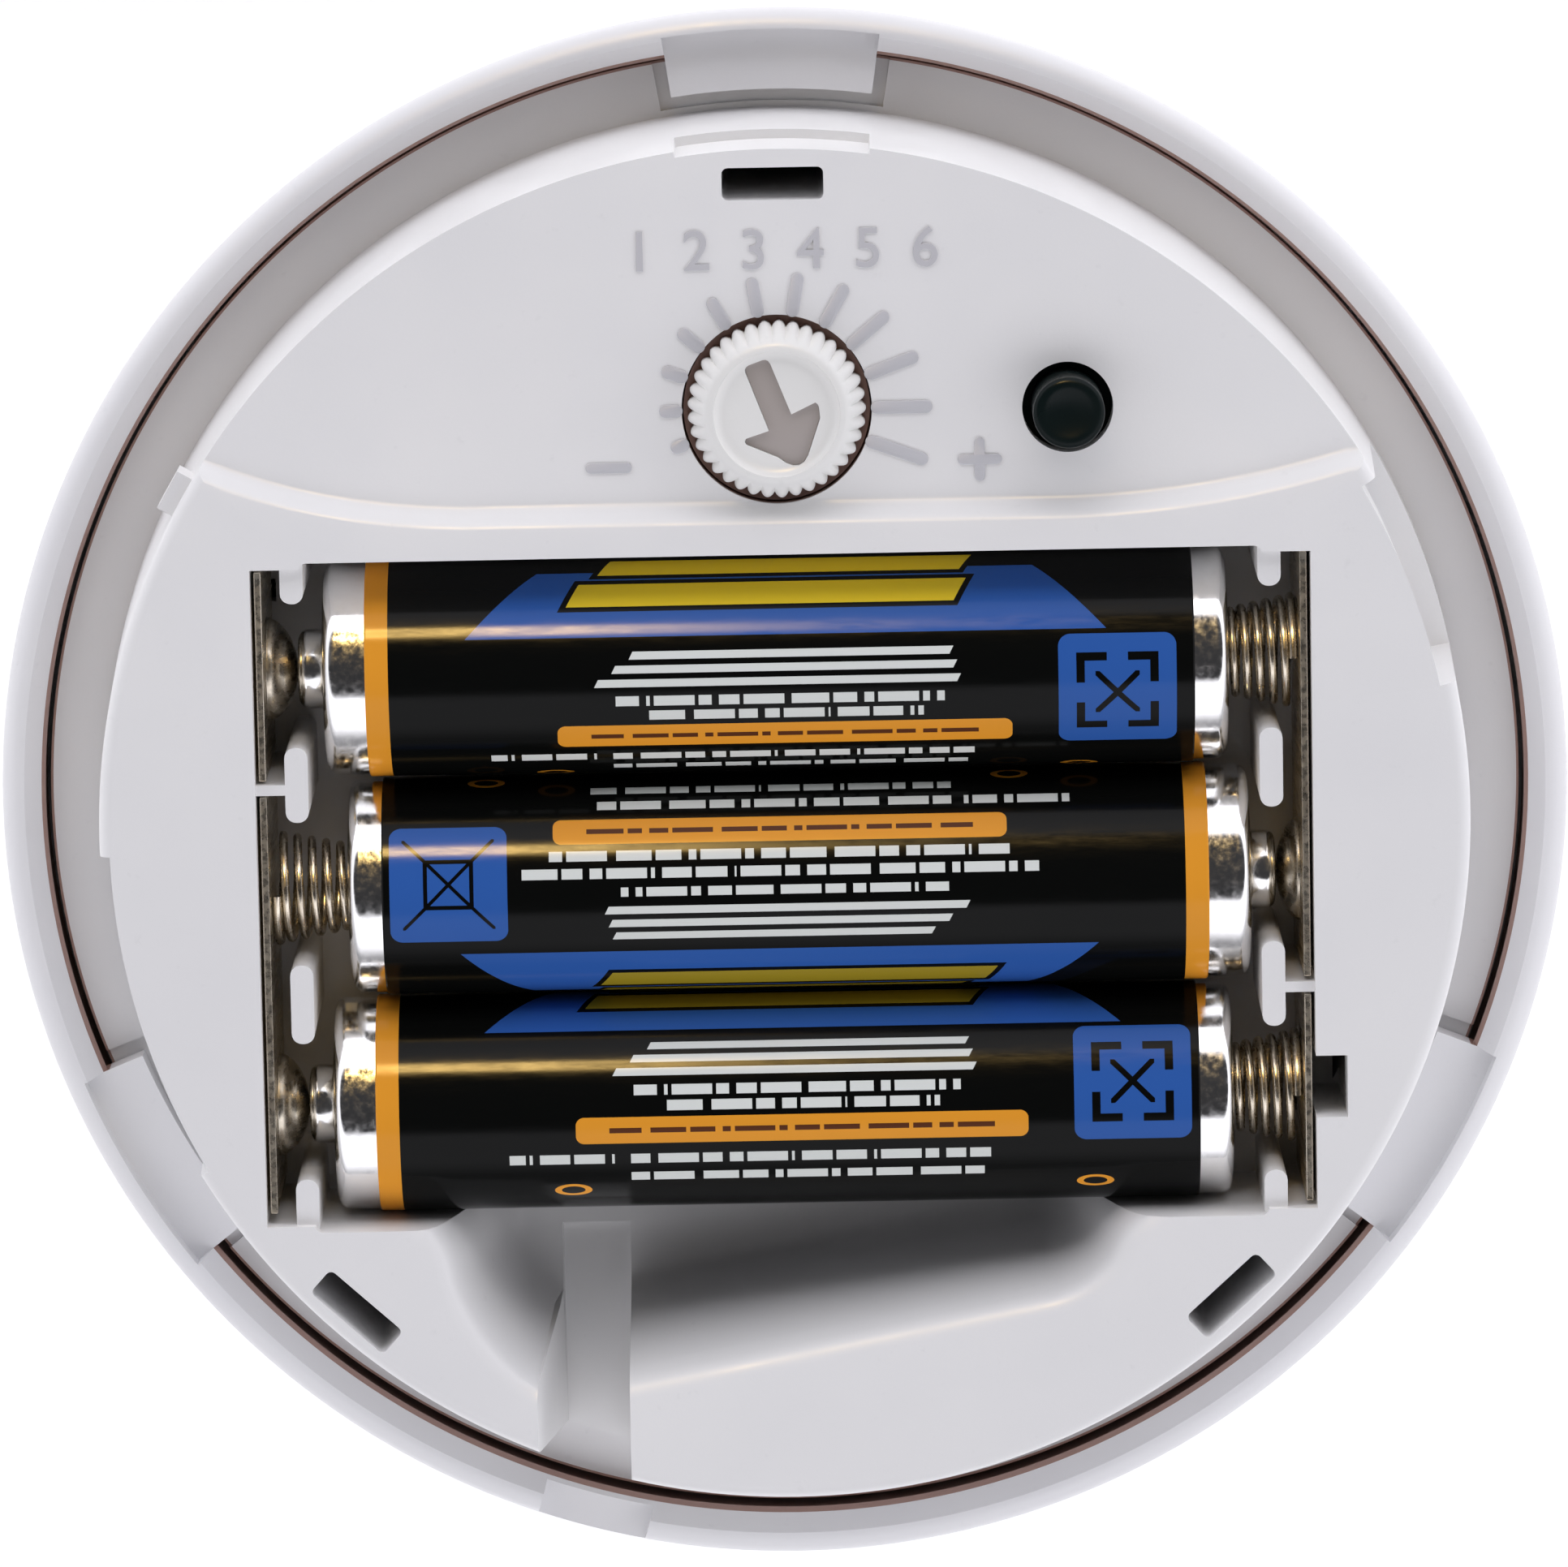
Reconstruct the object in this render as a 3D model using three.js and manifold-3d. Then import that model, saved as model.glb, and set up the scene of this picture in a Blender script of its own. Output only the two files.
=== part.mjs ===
// Round battery smoke detector, without its ceiling plate. Millimetres.
// The frame stands on the front face: origin at the centre of that face, +Z towards the ceiling side,
// +Y towards the sensitivity dial and +X to the right when the ceiling side is looked at.
import * as THREE from "three";
import { mergeVertices } from "three/addons/utils/BufferGeometryUtils.js";
import Module from "manifold-3d";

const wasm = await Module();
wasm.setup();

// ---------------------------------------------------------------- driving dimensions
const COVER = {
  r: 38, // greatest radius
  wall: 2,
  widestZ: 24, // where the side wall ends and the rim rolls over
  crestR: 37.05, // top of the rim
  crestZ: 25.1,
  lipR: 36, // inner edge of the rim
  lipZ: 23.7,
  undercut: 0.35, // how far the inside steps back under the lip
  footR: 36.2, // the side wall narrows to this towards the front
  cornerR: 3.8,
  tierR: 31, // raised front tier that holds the vents
  tierZ: 9,
  ventCount: 24,
};
const LUG = {
  angles: [0, 120, 240], // clockwise from +Y
  half: 8.15,
  innerR: 34.1,
  outerR: 37.1, // the rim is cut back to here above a lug
  z0: 22.3,
  z1: 23.9,
  notchExtra: 1.1, // how much wider the flange's notch is, on each side
  notchR: 33.4,
  notchFloorZ: 22.1,
};
const CHASSIS = {
  platformZ: 36.4, // ceiling-side face
  topR: 32.6,
  baseR: 33.1,
  flangeR: 35.6,
  flangeZ: 22.4,
  skirtZ: 20.9,
  cavityR: 29.9,
  cavityZ: 33.8,
  dialFloorZ: 35.4, // floor of the shallow area round the dial
  dialEdgeY: 14.8,
};
const BAY = { x: 22.8, y0: -19.1, y1: 13.2, floorZ: 25.8, undersideZ: 24.3, pocketX: 25.1, wall: 1.2 };
const CELL = { r: 5.22, canR: 5.12, length: 43, nubR: 1.9, nub: 1.3, z: 31.2 };
const CELLS = [
  { name: "top", y: 7.4, shift: -0.3, plus: -1 },
  { name: "middle", y: -3.2, shift: 0.65, plus: 1 },
  { name: "bottom", y: -13.8, shift: -0.3, plus: -1 },
];
const PLATE = { x: 24.6, thick: 0.35, z0: 26, z1: 35.6, domeR: 2.5, gap: 0.06 };
const SPRING = { wire: 0.21, plateR: 2.55, cellR: 1.95, turns: 5 };
const PCB = { z0: 18.6, z1: 20.2, r: 33 };
const DIAL = { y: 20, wellR: 4.5, r: 4.22, teeth: 37, topZ: 37.4, topR: 3.45, discR: 2.9, pointer: 158.5 };
const TAMPER = { x: 13.75, y: 19.85, holeR: 2.15, r: 1.7, topZ: 37.9 };
const TEST = { x: 0, y: -19, r: 5, holeR: 5.25, faceZ: 0.3 };
const LIGHT = { x: 11, y: -20.5, r: 1.5 };
const CHAMBER = { x: 9, y: 1, r: 14.5 };
const SOUNDER = { x: -19.4, y: 3, r: 9 };
const SCREWS = [
  { x: -6.5, y: 11 },
  { x: -11, y: -12 },
  { x: 19, y: -15.5 },
];

const ROUND = 64; // segments of the large rounds
const FINE = 24; // segments of the small rounds

// ---------------------------------------------------------------- solids
const radians = THREE.MathUtils.degToRad;

// Manifold solid of a closed three.js geometry.
function solid(geometry) {
  geometry.deleteAttribute("normal");
  geometry.deleteAttribute("uv");
  const merged = mergeVertices(geometry, 1e-4);
  return new wasm.Manifold(
    new wasm.Mesh({
      numProp: 3,
      vertProperties: new Float32Array(merged.attributes.position.array),
      triVerts: new Uint32Array(merged.index.array),
    }),
  );
}

function box(x0, x1, y0, y1, z0, z1) {
  const g = new THREE.BoxGeometry(x1 - x0, y1 - y0, z1 - z0);
  return solid(g.translate((x0 + x1) / 2, (y0 + y1) / 2, (z0 + z1) / 2));
}

// Upright cylinder or cone frustum between two heights.
function post(x, y, z0, z1, r, topR = r, segments = FINE) {
  const g = new THREE.CylinderGeometry(topR, r, z1 - z0, segments);
  return solid(g.rotateX(Math.PI / 2).translate(x, y, (z0 + z1) / 2));
}

// Solid of revolution about Z from [radius, height] pairs, listed from the lowest to the highest.
function turned(pairs, segments = ROUND) {
  const points = pairs.map(([r, z]) => new THREE.Vector2(r, z));
  return solid(new THREE.LatheGeometry(points, segments).rotateX(Math.PI / 2));
}

function shapeOf(pairs) {
  return new THREE.Shape(pairs.map(([x, y]) => new THREE.Vector2(x, y)));
}

function prism(shape, z0, z1, curveSegments = 8) {
  const g = new THREE.ExtrudeGeometry(shape, { depth: z1 - z0, bevelEnabled: false, curveSegments });
  return solid(g.translate(0, 0, z0));
}

// Cutter that keeps its outline from z1 up to z1 + 2 and tapers in by inset on the way down to z0.
function taperedCutter(shape, z0, z1, inset) {
  const outline = shape.getPoints(5).filter((p, i, all) => i === 0 || p.distanceTo(all[i - 1]) > 1e-6);
  const count = outline.length;
  const turn = THREE.ShapeUtils.isClockWise(outline) ? -1 : 1;
  const insetPoint = (i) => {
    const before = outline[i].clone().sub(outline[(i + count - 1) % count]).normalize();
    const after = outline[(i + 1) % count].clone().sub(outline[i]).normalize();
    const inward = new THREE.Vector2(-before.y - after.y, before.x + after.x).multiplyScalar(turn);
    return outline[i].clone().addScaledVector(inward.normalize(), inset);
  };
  const g = new THREE.ExtrudeGeometry(new THREE.Shape(outline), { depth: z1 - z0, bevelEnabled: false });
  const position = g.attributes.position;
  for (let v = 0; v < position.count; v++) {
    if (position.getZ(v) > 1e-6) continue;
    const here = new THREE.Vector2(position.getX(v), position.getY(v));
    const moved = insetPoint(outline.findIndex((p) => p.distanceTo(here) < 1e-4));
    position.setXY(v, moved.x, moved.y);
  }
  return solid(g.translate(0, 0, z0)).add(prism(new THREE.Shape(outline), z1 - 0.01, z1 + 2));
}

// Part of a ring, its angle measured clockwise from +Y.
function sector(centre, half, r0, r1, z0, z1, steps = 8) {
  const at = (r, i) => {
    const a = radians(centre - half + (2 * half * i) / steps);
    return [r * Math.sin(a), r * Math.cos(a)];
  };
  const outer = Array.from({ length: steps + 1 }, (_, i) => at(r1, i));
  const inner = Array.from({ length: steps + 1 }, (_, i) => at(r0, steps - i));
  return prism(shapeOf([...inner, ...outer].reverse()), z0, z1);
}

// Box given by its size, moved out to a radius and turned clockwise from +Y.
function turnedBox(angle, radius, width, depth, z0, z1) {
  return box(-width / 2, width / 2, radius - depth / 2, radius + depth / 2, z0, z1).rotate([0, 0, -angle]);
}

function roundedBlock(x0, x1, y0, y1, z0, z1, r) {
  const s = new THREE.Shape();
  s.moveTo(x0 + r, y0);
  s.lineTo(x1 - r, y0);
  s.absarc(x1 - r, y0 + r, r, -Math.PI / 2, 0);
  s.absarc(x1 - r, y1 - r, r, 0, Math.PI / 2);
  s.absarc(x0 + r, y1 - r, r, Math.PI / 2, Math.PI);
  s.absarc(x0 + r, y0 + r, r, Math.PI, 1.5 * Math.PI);
  return prism(s, z0, z1, 3);
}

// Points of an arc in the [radius, height] half plane, from one angle to another.
function arc(cr, cz, r, from, to, steps) {
  return Array.from({ length: steps + 1 }, (_, i) => {
    const a = radians(from + ((to - from) * i) / steps);
    return [cr + r * Math.cos(a), cz + r * Math.sin(a)];
  });
}

const cutAll = (base, cutters) => cutters.reduce((s, c) => s.subtract(c), base);
const joinAll = (solids) => solids.reduce((s, c) => s.add(c));

// ---------------------------------------------------------------- materials
const finish = (color, roughness, metalness = 0) =>
  new THREE.MeshStandardMaterial({ color, roughness, metalness });
const MATERIALS = {
  white: () => finish(0xe6e6e4, 0.45),
  dialWhite: () => finish(0xf1f0ec, 0.4),
  dark: () => finish(0x1c2625, 0.4),
  black: () => finish(0x141414, 0.6),
  board: () => finish(0x1f5a3a, 0.5),
  steel: () => finish(0xb9b6ae, 0.3, 1),
  nickel: () => finish(0xa39a88, 0.35, 1),
  brass: () => finish(0xb08d4a, 0.35, 1),
  jacket: () => finish(0x10120f, 0.35),
  clear: () => finish(0xd8e0e4, 0.1),
  red: () => finish(0xb5211c, 0.3),
  mesh: () => finish(0x8b8d8f, 0.5, 0.6),
};

// ---------------------------------------------------------------- front cover
function frontCover() {
  const { r, wall, widestZ, crestR, crestZ, lipR, lipZ, undercut, footR, cornerR, tierR, tierZ } = COVER;
  const slope = -9.5; // lean of the side wall in degrees
  const outer = [
    [0, 0],
    ...arc(tierR - 2.2, 1.8, 1.8, -90, 0, 4),
    [tierR, tierZ - 0.8],
    ...arc(tierR + 0.8, tierZ - 0.8, 0.8, 180, 90, 2),
    ...arc(footR - cornerR, tierZ + cornerR, cornerR, -90, slope, 6),
    [r, widestZ],
    [r - 0.28, widestZ + 0.78],
    [crestR, crestZ],
    [crestR - 0.35, crestZ - 0.25],
    [lipR, lipZ],
  ];
  const inner = [
    [lipR + undercut, lipZ - 0.4],
    [lipR + undercut, CHASSIS.skirtZ - 0.4],
    ...arc(footR - wall - 3, tierZ + wall + 3, 3, slope, -90, 3),
    [tierR - wall, tierZ + wall],
    [tierR - wall, wall],
    [0, wall],
  ];
  let shell = turned([...outer, ...inner]);
  const lugs = LUG.angles.map((a) => sector(a, LUG.half, LUG.innerR, LUG.outerR, LUG.z0, LUG.z1));
  const rimCuts = LUG.angles.map((a) => sector(a, LUG.half, lipR - 0.5, LUG.outerR, LUG.z1, crestZ + 1));
  const screwPosts = SCREWS.map(({ x, y }) => post(x, y, wall / 2, PCB.z0 - 0.1, 3));
  const lightCollar = post(LIGHT.x, LIGHT.y, wall / 2, wall + 2, LIGHT.r + 1.2);
  shell = joinAll([shell, ...lugs, ...screwPosts, lightCollar]);

  const vents = Array.from({ length: COVER.ventCount }, (_, i) =>
    turnedBox((360 * (i + 0.5)) / COVER.ventCount, tierR, 3.4, 8, 3.2, 7.6),
  );
  const pilotHoles = SCREWS.map(({ x, y }) => post(x, y, 7, PCB.z0 + 1, 1.1, 1.1, 12));
  const soundSlots = [-4.5, -1.5, 1.5, 4.5].map((dy) =>
    roundedBlock(SOUNDER.x - 5.5 + Math.abs(dy) / 2, SOUNDER.x + 5.5 - Math.abs(dy) / 2,
      SOUNDER.y + dy - 0.6, SOUNDER.y + dy + 0.6, -1, wall + 1, 0.55),
  );
  const cableNotch = turnedBox(195.6, 37.4, 5.4, 5, 24.2, 27);
  return cutAll(shell, [
    ...rimCuts,
    ...vents,
    ...pilotHoles,
    ...soundSlots,
    cableNotch,
    post(TEST.x, TEST.y, -1, wall + 1, TEST.holeR),
    post(LIGHT.x, LIGHT.y, -1, wall + 3, LIGHT.r + 0.1),
  ]);
}

// ---------------------------------------------------------------- chassis
// Deep hand hold below the lowest cell, with a sloping wall.
function fingerHold() {
  const s = new THREE.Shape();
  s.moveTo(-18.4, -16);
  s.lineTo(-18.4, -18.3);
  s.quadraticCurveTo(-16.4, -19.3, -16.2, -21.5);
  s.quadraticCurveTo(-15.4, -24.6, -12.4, -26.9);
  s.lineTo(-7.9, -26.7);
  s.lineTo(12.4, -22.9);
  s.quadraticCurveTo(14.9, -22.2, 15.6, -20.4);
  s.quadraticCurveTo(16.1, -19.3, 17.4, -18.8);
  s.lineTo(17.4, -16);
  return taperedCutter(s, BAY.floorZ, CHASSIS.platformZ, 2.5);
}

// Sunken area round the dial: bounded by a long flat curve below, and open to the drum's edge above.
function dialArea() {
  const { dialEdgeY, dialFloorZ, platformZ } = CHASSIS;
  const s = new THREE.Shape();
  s.moveTo(-40, dialEdgeY + 2.6);
  s.lineTo(-27.5, dialEdgeY + 2.4);
  s.quadraticCurveTo(-22, dialEdgeY, -15, dialEdgeY - 0.2);
  s.lineTo(14, dialEdgeY - 0.2);
  s.quadraticCurveTo(21, dialEdgeY, 27, dialEdgeY + 1.8);
  s.lineTo(40, dialEdgeY + 2.2);
  s.lineTo(40, 42);
  s.lineTo(-40, 42);
  return taperedCutter(s, dialFloorZ, platformZ, 0.9);
}

// Cable channel from the hand hold out through the drum wall: upright on one side, sloping on the other.
function cableChannel() {
  const top = CHASSIS.platformZ + 1;
  const floor = BAY.floorZ - 0.6;
  const s = shapeOf([[-11.2, floor], [-7.95, floor], [-7.95, top], [-12.5, top]]);
  const g = new THREE.ExtrudeGeometry(s, { depth: 17, bevelEnabled: false });
  return solid(g.rotateX(Math.PI / 2).translate(0, -21, 0));
}

// Ribs that hold the contact plates: a side, the rib's ends along Y, and a bridge to the bay wall or none.
const RIBS = [
  { side: -1, y0: 11.2, y1: BAY.y1 + 0.5 },
  { side: -1, y0: 0.7, y1: 4.3, bridge: 2.27 },
  { side: -1, y0: -10, y1: -6.2 },
  { side: -1, y0: BAY.y0 - 0.5, y1: -16.6 },
  { side: 1, y0: 11.2, y1: BAY.y1 + 0.5 },
  { side: 1, y0: 0.6, y1: 4.4 },
  { side: 1, y0: -10, y1: -5.9, bridge: -8.13 },
  { side: 1, y0: BAY.y0 - 0.5, y1: -17 },
];
function bayRib({ side, y0, y1, bridge }) {
  const topZ = CHASSIS.platformZ - 0.5;
  const [a, b] = [side * 23.7, side * 22.6].sort((p, q) => p - q);
  const rib = roundedBlock(a, b, y0, y1, BAY.floorZ - 0.5, topZ, 0.35);
  if (bridge === undefined) return rib;
  const [c, d] = [side * 23.2, side * (BAY.pocketX + 0.5)].sort((p, q) => p - q);
  return rib.add(box(c, d, bridge - 0.25, bridge + 0.25, BAY.floorZ - 0.5, topZ));
}

function chassis() {
  const { platformZ, topR, baseR, flangeR, flangeZ, skirtZ, cavityR, cavityZ } = CHASSIS;
  const drum = turned([
    [0, skirtZ],
    [flangeR, skirtZ],
    [flangeR, flangeZ],
    [baseR, flangeZ],
    ...arc(topR - 0.7, platformZ - 0.7, 0.7, 0, 90, 3),
    [0, platformZ],
  ]);
  const hollow = post(0, 0, skirtZ - 1, cavityZ, cavityR, cavityR, ROUND);
  const bayX = BAY.pocketX + BAY.wall;
  const bayBlock = box(-bayX, bayX, -cavityR - 1, BAY.y1 + 1.4, BAY.undersideZ, cavityZ + 0.5);
  const insideDrum = post(0, 0, skirtZ, cavityZ + 1, cavityR + 0.5, cavityR + 0.5, ROUND);
  const bosses = SCREWS.map(({ x, y }) => post(x, y, PCB.z1 + 0.1, BAY.undersideZ + 0.5, 3.2));
  const wellCollar = post(0, DIAL.y, cavityZ - 0.6, cavityZ + 0.5, DIAL.wellR + 1.6);
  let body = joinAll([drum.subtract(hollow), bayBlock.intersect(insideDrum), wellCollar, ...bosses]);

  const bay = box(-BAY.x, BAY.x, BAY.y0, BAY.y1, BAY.floorZ, platformZ + 1);
  const pockets = [-1, 1].map((side) => {
    const [a, b] = [side * BAY.pocketX, side * (BAY.x - 1)].sort((p, q) => p - q);
    return box(a, b, BAY.y0 + 0.3, BAY.y1 - 0.3, BAY.floorZ, platformZ + 1);
  });
  body = cutAll(body, [bay, ...pockets, fingerHold(), cableChannel(), dialArea()]);
  body = joinAll([body, ...RIBS.map(bayRib)]);

  const lugNotches = LUG.angles.map((a) =>
    sector(a, LUG.half + LUG.notchExtra, LUG.notchR, flangeR + 1, LUG.notchFloorZ, flangeZ + 0.5),
  );
  const hookSlots = [
    turnedBox(0, 30.7, 4.8, 1.55, skirtZ - 1, platformZ + 1),
    turnedBox(137.7, 31.1, 4.6, 1.5, platformZ - 9, platformZ + 1),
    turnedBox(-137.7, 31.1, 4.6, 1.5, platformZ - 9, platformZ + 1),
  ];
  const edgeRecesses = [
    sector(69.25, 9.25, 31.8, 34, flangeZ + 2, platformZ + 1),
    sector(254.35, 14.35, 32.1, 34, flangeZ + 2, platformZ + 1),
    sector(0, LUG.half, 32.35, 34, platformZ - 6, platformZ + 1),
  ];
  const sideWindow = box(BAY.pocketX - 0.4, 26.6, -14.4, -11.4, BAY.floorZ + 2, platformZ + 1);
  const tailSlots = [
    box(-PLATE.x - 0.5, -PLATE.x + 0.2, 9.9, 11, BAY.undersideZ - 1, BAY.floorZ + 1),
    box(PLATE.x - 0.2, PLATE.x + 0.5, -16.1, -14.9, BAY.undersideZ - 1, BAY.floorZ + 1),
  ];
  const screwHoles = SCREWS.flatMap(({ x, y }) => [
    post(x, y, 23.6, BAY.floorZ + 1, 2.4),
    post(x, y, PCB.z1 - 1, 24, 1.4, 1.4, 12),
  ]);
  body = cutAll(body, [
    ...lugNotches,
    ...hookSlots,
    ...edgeRecesses,
    sideWindow,
    ...tailSlots,
    ...screwHoles,
    post(0, DIAL.y, cavityZ - 2, platformZ + 1, DIAL.wellR, DIAL.wellR, 48),
    post(TAMPER.x, TAMPER.y, cavityZ - 2, platformZ + 1, TAMPER.holeR),
  ]);
  return body.add(turnedBox(300, topR + 0.2, 2, 1.6, platformZ - 3.4, platformZ - 1.1));
}

// ---------------------------------------------------------------- dial and tamper plunger
// Arrow that points along +Y, its head blunt on both sides.
function arrowOutline() {
  const halfStem = 0.62;
  const tail = -2.6;
  return shapeOf([
    [0, 2.78], [-1.33, 1.7], [-1.8, 1], [-1.9, 0.25], [-halfStem, 0.35], [-halfStem, tail],
    [halfStem, tail], [halfStem, 0.65], [1.8, 0.7], [1, 1.75],
  ]);
}

function sensitivityKnob() {
  const { r, teeth, topZ, topR, discR, pointer, wellR } = DIAL;
  const coneZ = CHASSIS.dialFloorZ + 0.1; // the teeth lean in from here up
  const outline = Array.from({ length: 2 * teeth }, (_, i) => {
    const a = (Math.PI * i) / teeth;
    const radius = i % 2 ? r : r - 0.22;
    return [radius * Math.cos(a), radius * Math.sin(a)];
  });
  const body = joinAll([
    prism(shapeOf(outline), 33, coneZ),
    turned([[0, coneZ - 0.1], [r - 0.12, coneZ - 0.1], [topR, topZ - 0.15], [topR - 0.2, topZ], [0, topZ]]),
    post(0, 0, 31.6, 32.9, wellR + 0.6, wellR + 0.6, 36),
    post(0, 0, 32.8, 33.1, r - 0.4),
    post(0, 0, 27.4, 31.7, 1.6, 1.6, 16),
  ]);
  const disc = post(0, 0, topZ - 0.35, topZ + 1, discR, discR, 36);
  const arrow = prism(arrowOutline(), topZ - 1.3, topZ + 1).rotate([0, 0, -pointer]);
  return cutAll(body, [disc, arrow]).translate([0, DIAL.y, 0]);
}

function tamperButton() {
  const { x, y, r, topZ } = TAMPER;
  const pin = turned([[0, 26.1], [r, 26.1], [r, topZ - 0.25], [r - 0.25, topZ], [0, topZ]], FINE);
  return pin.add(post(0, 0, 32.6, 33.6, r + 1, r + 1)).translate([x, y, 0]);
}

// Helical wire about Z from one height and radius to another.
class Helix extends THREE.Curve {
  constructor(z0, z1, r0, r1, turns) {
    super();
    Object.assign(this, { z0, z1, r0, r1, turns });
  }
  getPoint(t, target = new THREE.Vector3()) {
    const a = 2 * Math.PI * this.turns * t;
    const r = this.r0 + (this.r1 - this.r0) * t;
    return target.set(r * Math.cos(a), r * Math.sin(a), this.z0 + (this.z1 - this.z0) * t);
  }
}

function coil(z0, z1, r0, r1, turns, wire, stepsPerTurn = 12) {
  const sides = 6;
  const corner = (a) => [wire * Math.cos(a), wire * Math.sin(a)];
  const section = shapeOf(Array.from({ length: sides }, (_, i) => corner((2 * Math.PI * i) / sides)));
  const extrudePath = new Helix(z0 + wire, z1 - wire, r0, r1, turns);
  const steps = turns * stepsPerTurn;
  return new THREE.ExtrudeGeometry(section, { steps, bevelEnabled: false, extrudePath });
}

// ---------------------------------------------------------------- cells and contacts
// Steel can with its raised positive end, along +X, centred on the origin.
function cellCan() {
  const { canR, length, nub, nubR } = CELL;
  const half = length / 2;
  return turned(
    [[0, -half], [canR - 0.5, -half], [canR, -half + 0.5], [canR, half - 0.5], [canR - 0.5, half],
      [nubR, half], [nubR, half + nub - 0.25], [nubR - 0.25, half + nub], [0, half + nub]],
    32,
  ).rotate([0, 90, 0]);
}

function cellSleeve() {
  const { canR, r, length } = CELL;
  const half = length / 2 - 0.6;
  const innerR = canR + 0.03;
  const wall = [[innerR, -half], [r, -half], [r, half], [innerR, half], [innerR, -half]];
  return turned(wall, 32).rotate([0, 90, 0]);
}

// Distance from the plate's face to the tip of a cell's positive end.
const domeHeight = (cell) => PLATE.x - (CELL.length / 2 + CELL.nub + cell.shift * cell.plus) - PLATE.gap;

// Pressed contact plate: domes face positive ends, and a tail may run down to the board.
function contactPlate(side, y0, y1, domes, tail) {
  const { x, thick, z0, z1, domeR } = PLATE;
  const parts = [box(x, x + thick, y0, y1, z0, z1)];
  for (const cell of domes) {
    const h = domeHeight(cell);
    const profile = [[0, -0.05], [domeR, -0.05], [domeR * 0.62, h * 0.55], [domeR * 0.35, h * 0.92], [0, h]];
    parts.push(turned(profile, FINE).rotate([0, -90, 0]).translate([x, cell.y, CELL.z]));
  }
  if (tail !== undefined) parts.push(box(x, x + thick, tail, tail + 0.8, PCB.z1 + 0.1, z0 + 0.5));
  const plate = joinAll(parts);
  return side > 0 ? plate : plate.mirror([1, 0, 0]);
}

function cellSpring(cell) {
  const { wire, plateR, cellR, turns } = SPRING;
  const cellEnd = CELL.length / 2 - cell.shift * cell.plus;
  const g = coil(cellEnd + PLATE.gap, PLATE.x - PLATE.gap, cellR, plateR, turns, wire);
  return solid(g.rotateY(-cell.plus * Math.PI / 2).translate(0, cell.y, CELL.z));
}

// ---------------------------------------------------------------- board and what it carries
function board() {
  const disc = post(0, 0, PCB.z0, PCB.z1, PCB.r, PCB.r, 48);
  const holes = SCREWS.map(({ x, y }) => post(x, y, PCB.z0 - 1, PCB.z1 + 1, 1.6, 1.6, 12));
  const cableCut = turnedBox(195.6, PCB.r, 6, 3, PCB.z0 - 1, PCB.z1 + 1);
  return cutAll(disc, [...holes, cableCut]);
}

function caseScrew({ x, y }) {
  const shank = post(x, y, 9, 24, 1.05, 1.05, 12);
  const head = turned([[0, 23.8], [2.1, 23.8], [2.1, 25], [1.5, 25.5], [0, 25.5]], 16).translate([x, y, 0]);
  const slots = [[1.1, 0.2], [0.2, 1.1]].map(([dx, dy]) => box(x - dx, x + dx, y - dy, y + dy, 24.7, 26));
  return cutAll(shank.add(head), slots);
}

// Light-tight ring of slanted vanes under a cap: air gets in, daylight doesn't.
function labyrinth() {
  const { x, y, r } = CHAMBER;
  const cap = post(0, 0, 7.2, 8.4, r, r, 36);
  const vane = () => box(-0.4, 0.4, -2.4, 2.4, 8.2, 16.8).rotate([0, 0, 38]).translate([0, r - 2.6, 0]);
  const count = 20;
  const vanes = Array.from({ length: count }, (_, i) => vane().rotate([0, 0, (360 * i) / count]));
  return joinAll([cap, ...vanes]).translate([x, y, 0]);
}

function insectScreen() {
  const { x, y, r } = CHAMBER;
  const outerR = r + 0.6;
  const innerR = r + 0.25;
  const band = post(0, 0, 8.7, 16.7, outerR, outerR, 48).subtract(post(0, 0, 8, 18, innerR, innerR, 48));
  const windows = Array.from({ length: 12 }, (_, i) => turnedBox(30 * i, r, 5.4, 4, 9.6, 15.8));
  return cutAll(band, windows).translate([x, y, 0]);
}

function chamberBase() {
  const { x, y, r } = CHAMBER;
  const dish = post(0, 0, 17, 18.5, r, r, 36);
  const holders = [-1, 1].map((s) => box(-2.2, 2.2, -2.6, 2.6, 12.6, 17.2).translate([s * 6.4, -3.2, 0]));
  const bores = [-1, 1].map((s) => box(-1.7, 1.7, -4, 2, 13.1, 16.5).translate([s * 6.4, -3.2, 0]));
  return cutAll(joinAll([dish, ...holders]), bores).translate([x, y, 0]);
}

// Lens-ended emitter or receiver lying in its holder.
function opticalElement(side) {
  const lens = turned([[0, -1.6], [1.45, -1.6], [1.45, 0.8], [1.1, 1.6], [0, 2.1]], 16).rotate([-90, 0, 0]);
  return lens.translate([CHAMBER.x + side * 6.4, CHAMBER.y - 4.2, 14.8]);
}

function sounderHousing() {
  const { x, y, r } = SOUNDER;
  const cup = post(0, 0, 5, 18.4, r, r, 36).subtract(post(0, 0, 4, 16.9, r - 1.2, r - 1.2, 36));
  const ledge = post(0, 0, 9, 10, r - 0.6, r - 0.6, 36).subtract(post(0, 0, 8, 11, r - 2.4, r - 2.4, 36));
  const port = post(0, 0, 16, 19, 2, 2, 16);
  return cup.add(ledge).subtract(port).translate([x, y, 0]);
}

function testButton() {
  const { x, y, r, faceZ } = TEST;
  const cap = turned([[0, faceZ], [r - 0.5, faceZ], [r, faceZ + 0.5], [r, 2.5], [0, 2.5]], 36);
  const collar = post(x, y, 2.3, 3.3, r + 1, r + 1, 36);
  const stem = post(x, y, 3.2, 14.5, 1.6, 1.6, 16);
  return joinAll([cap.translate([x, y, 0]), collar, stem]);
}

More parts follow.
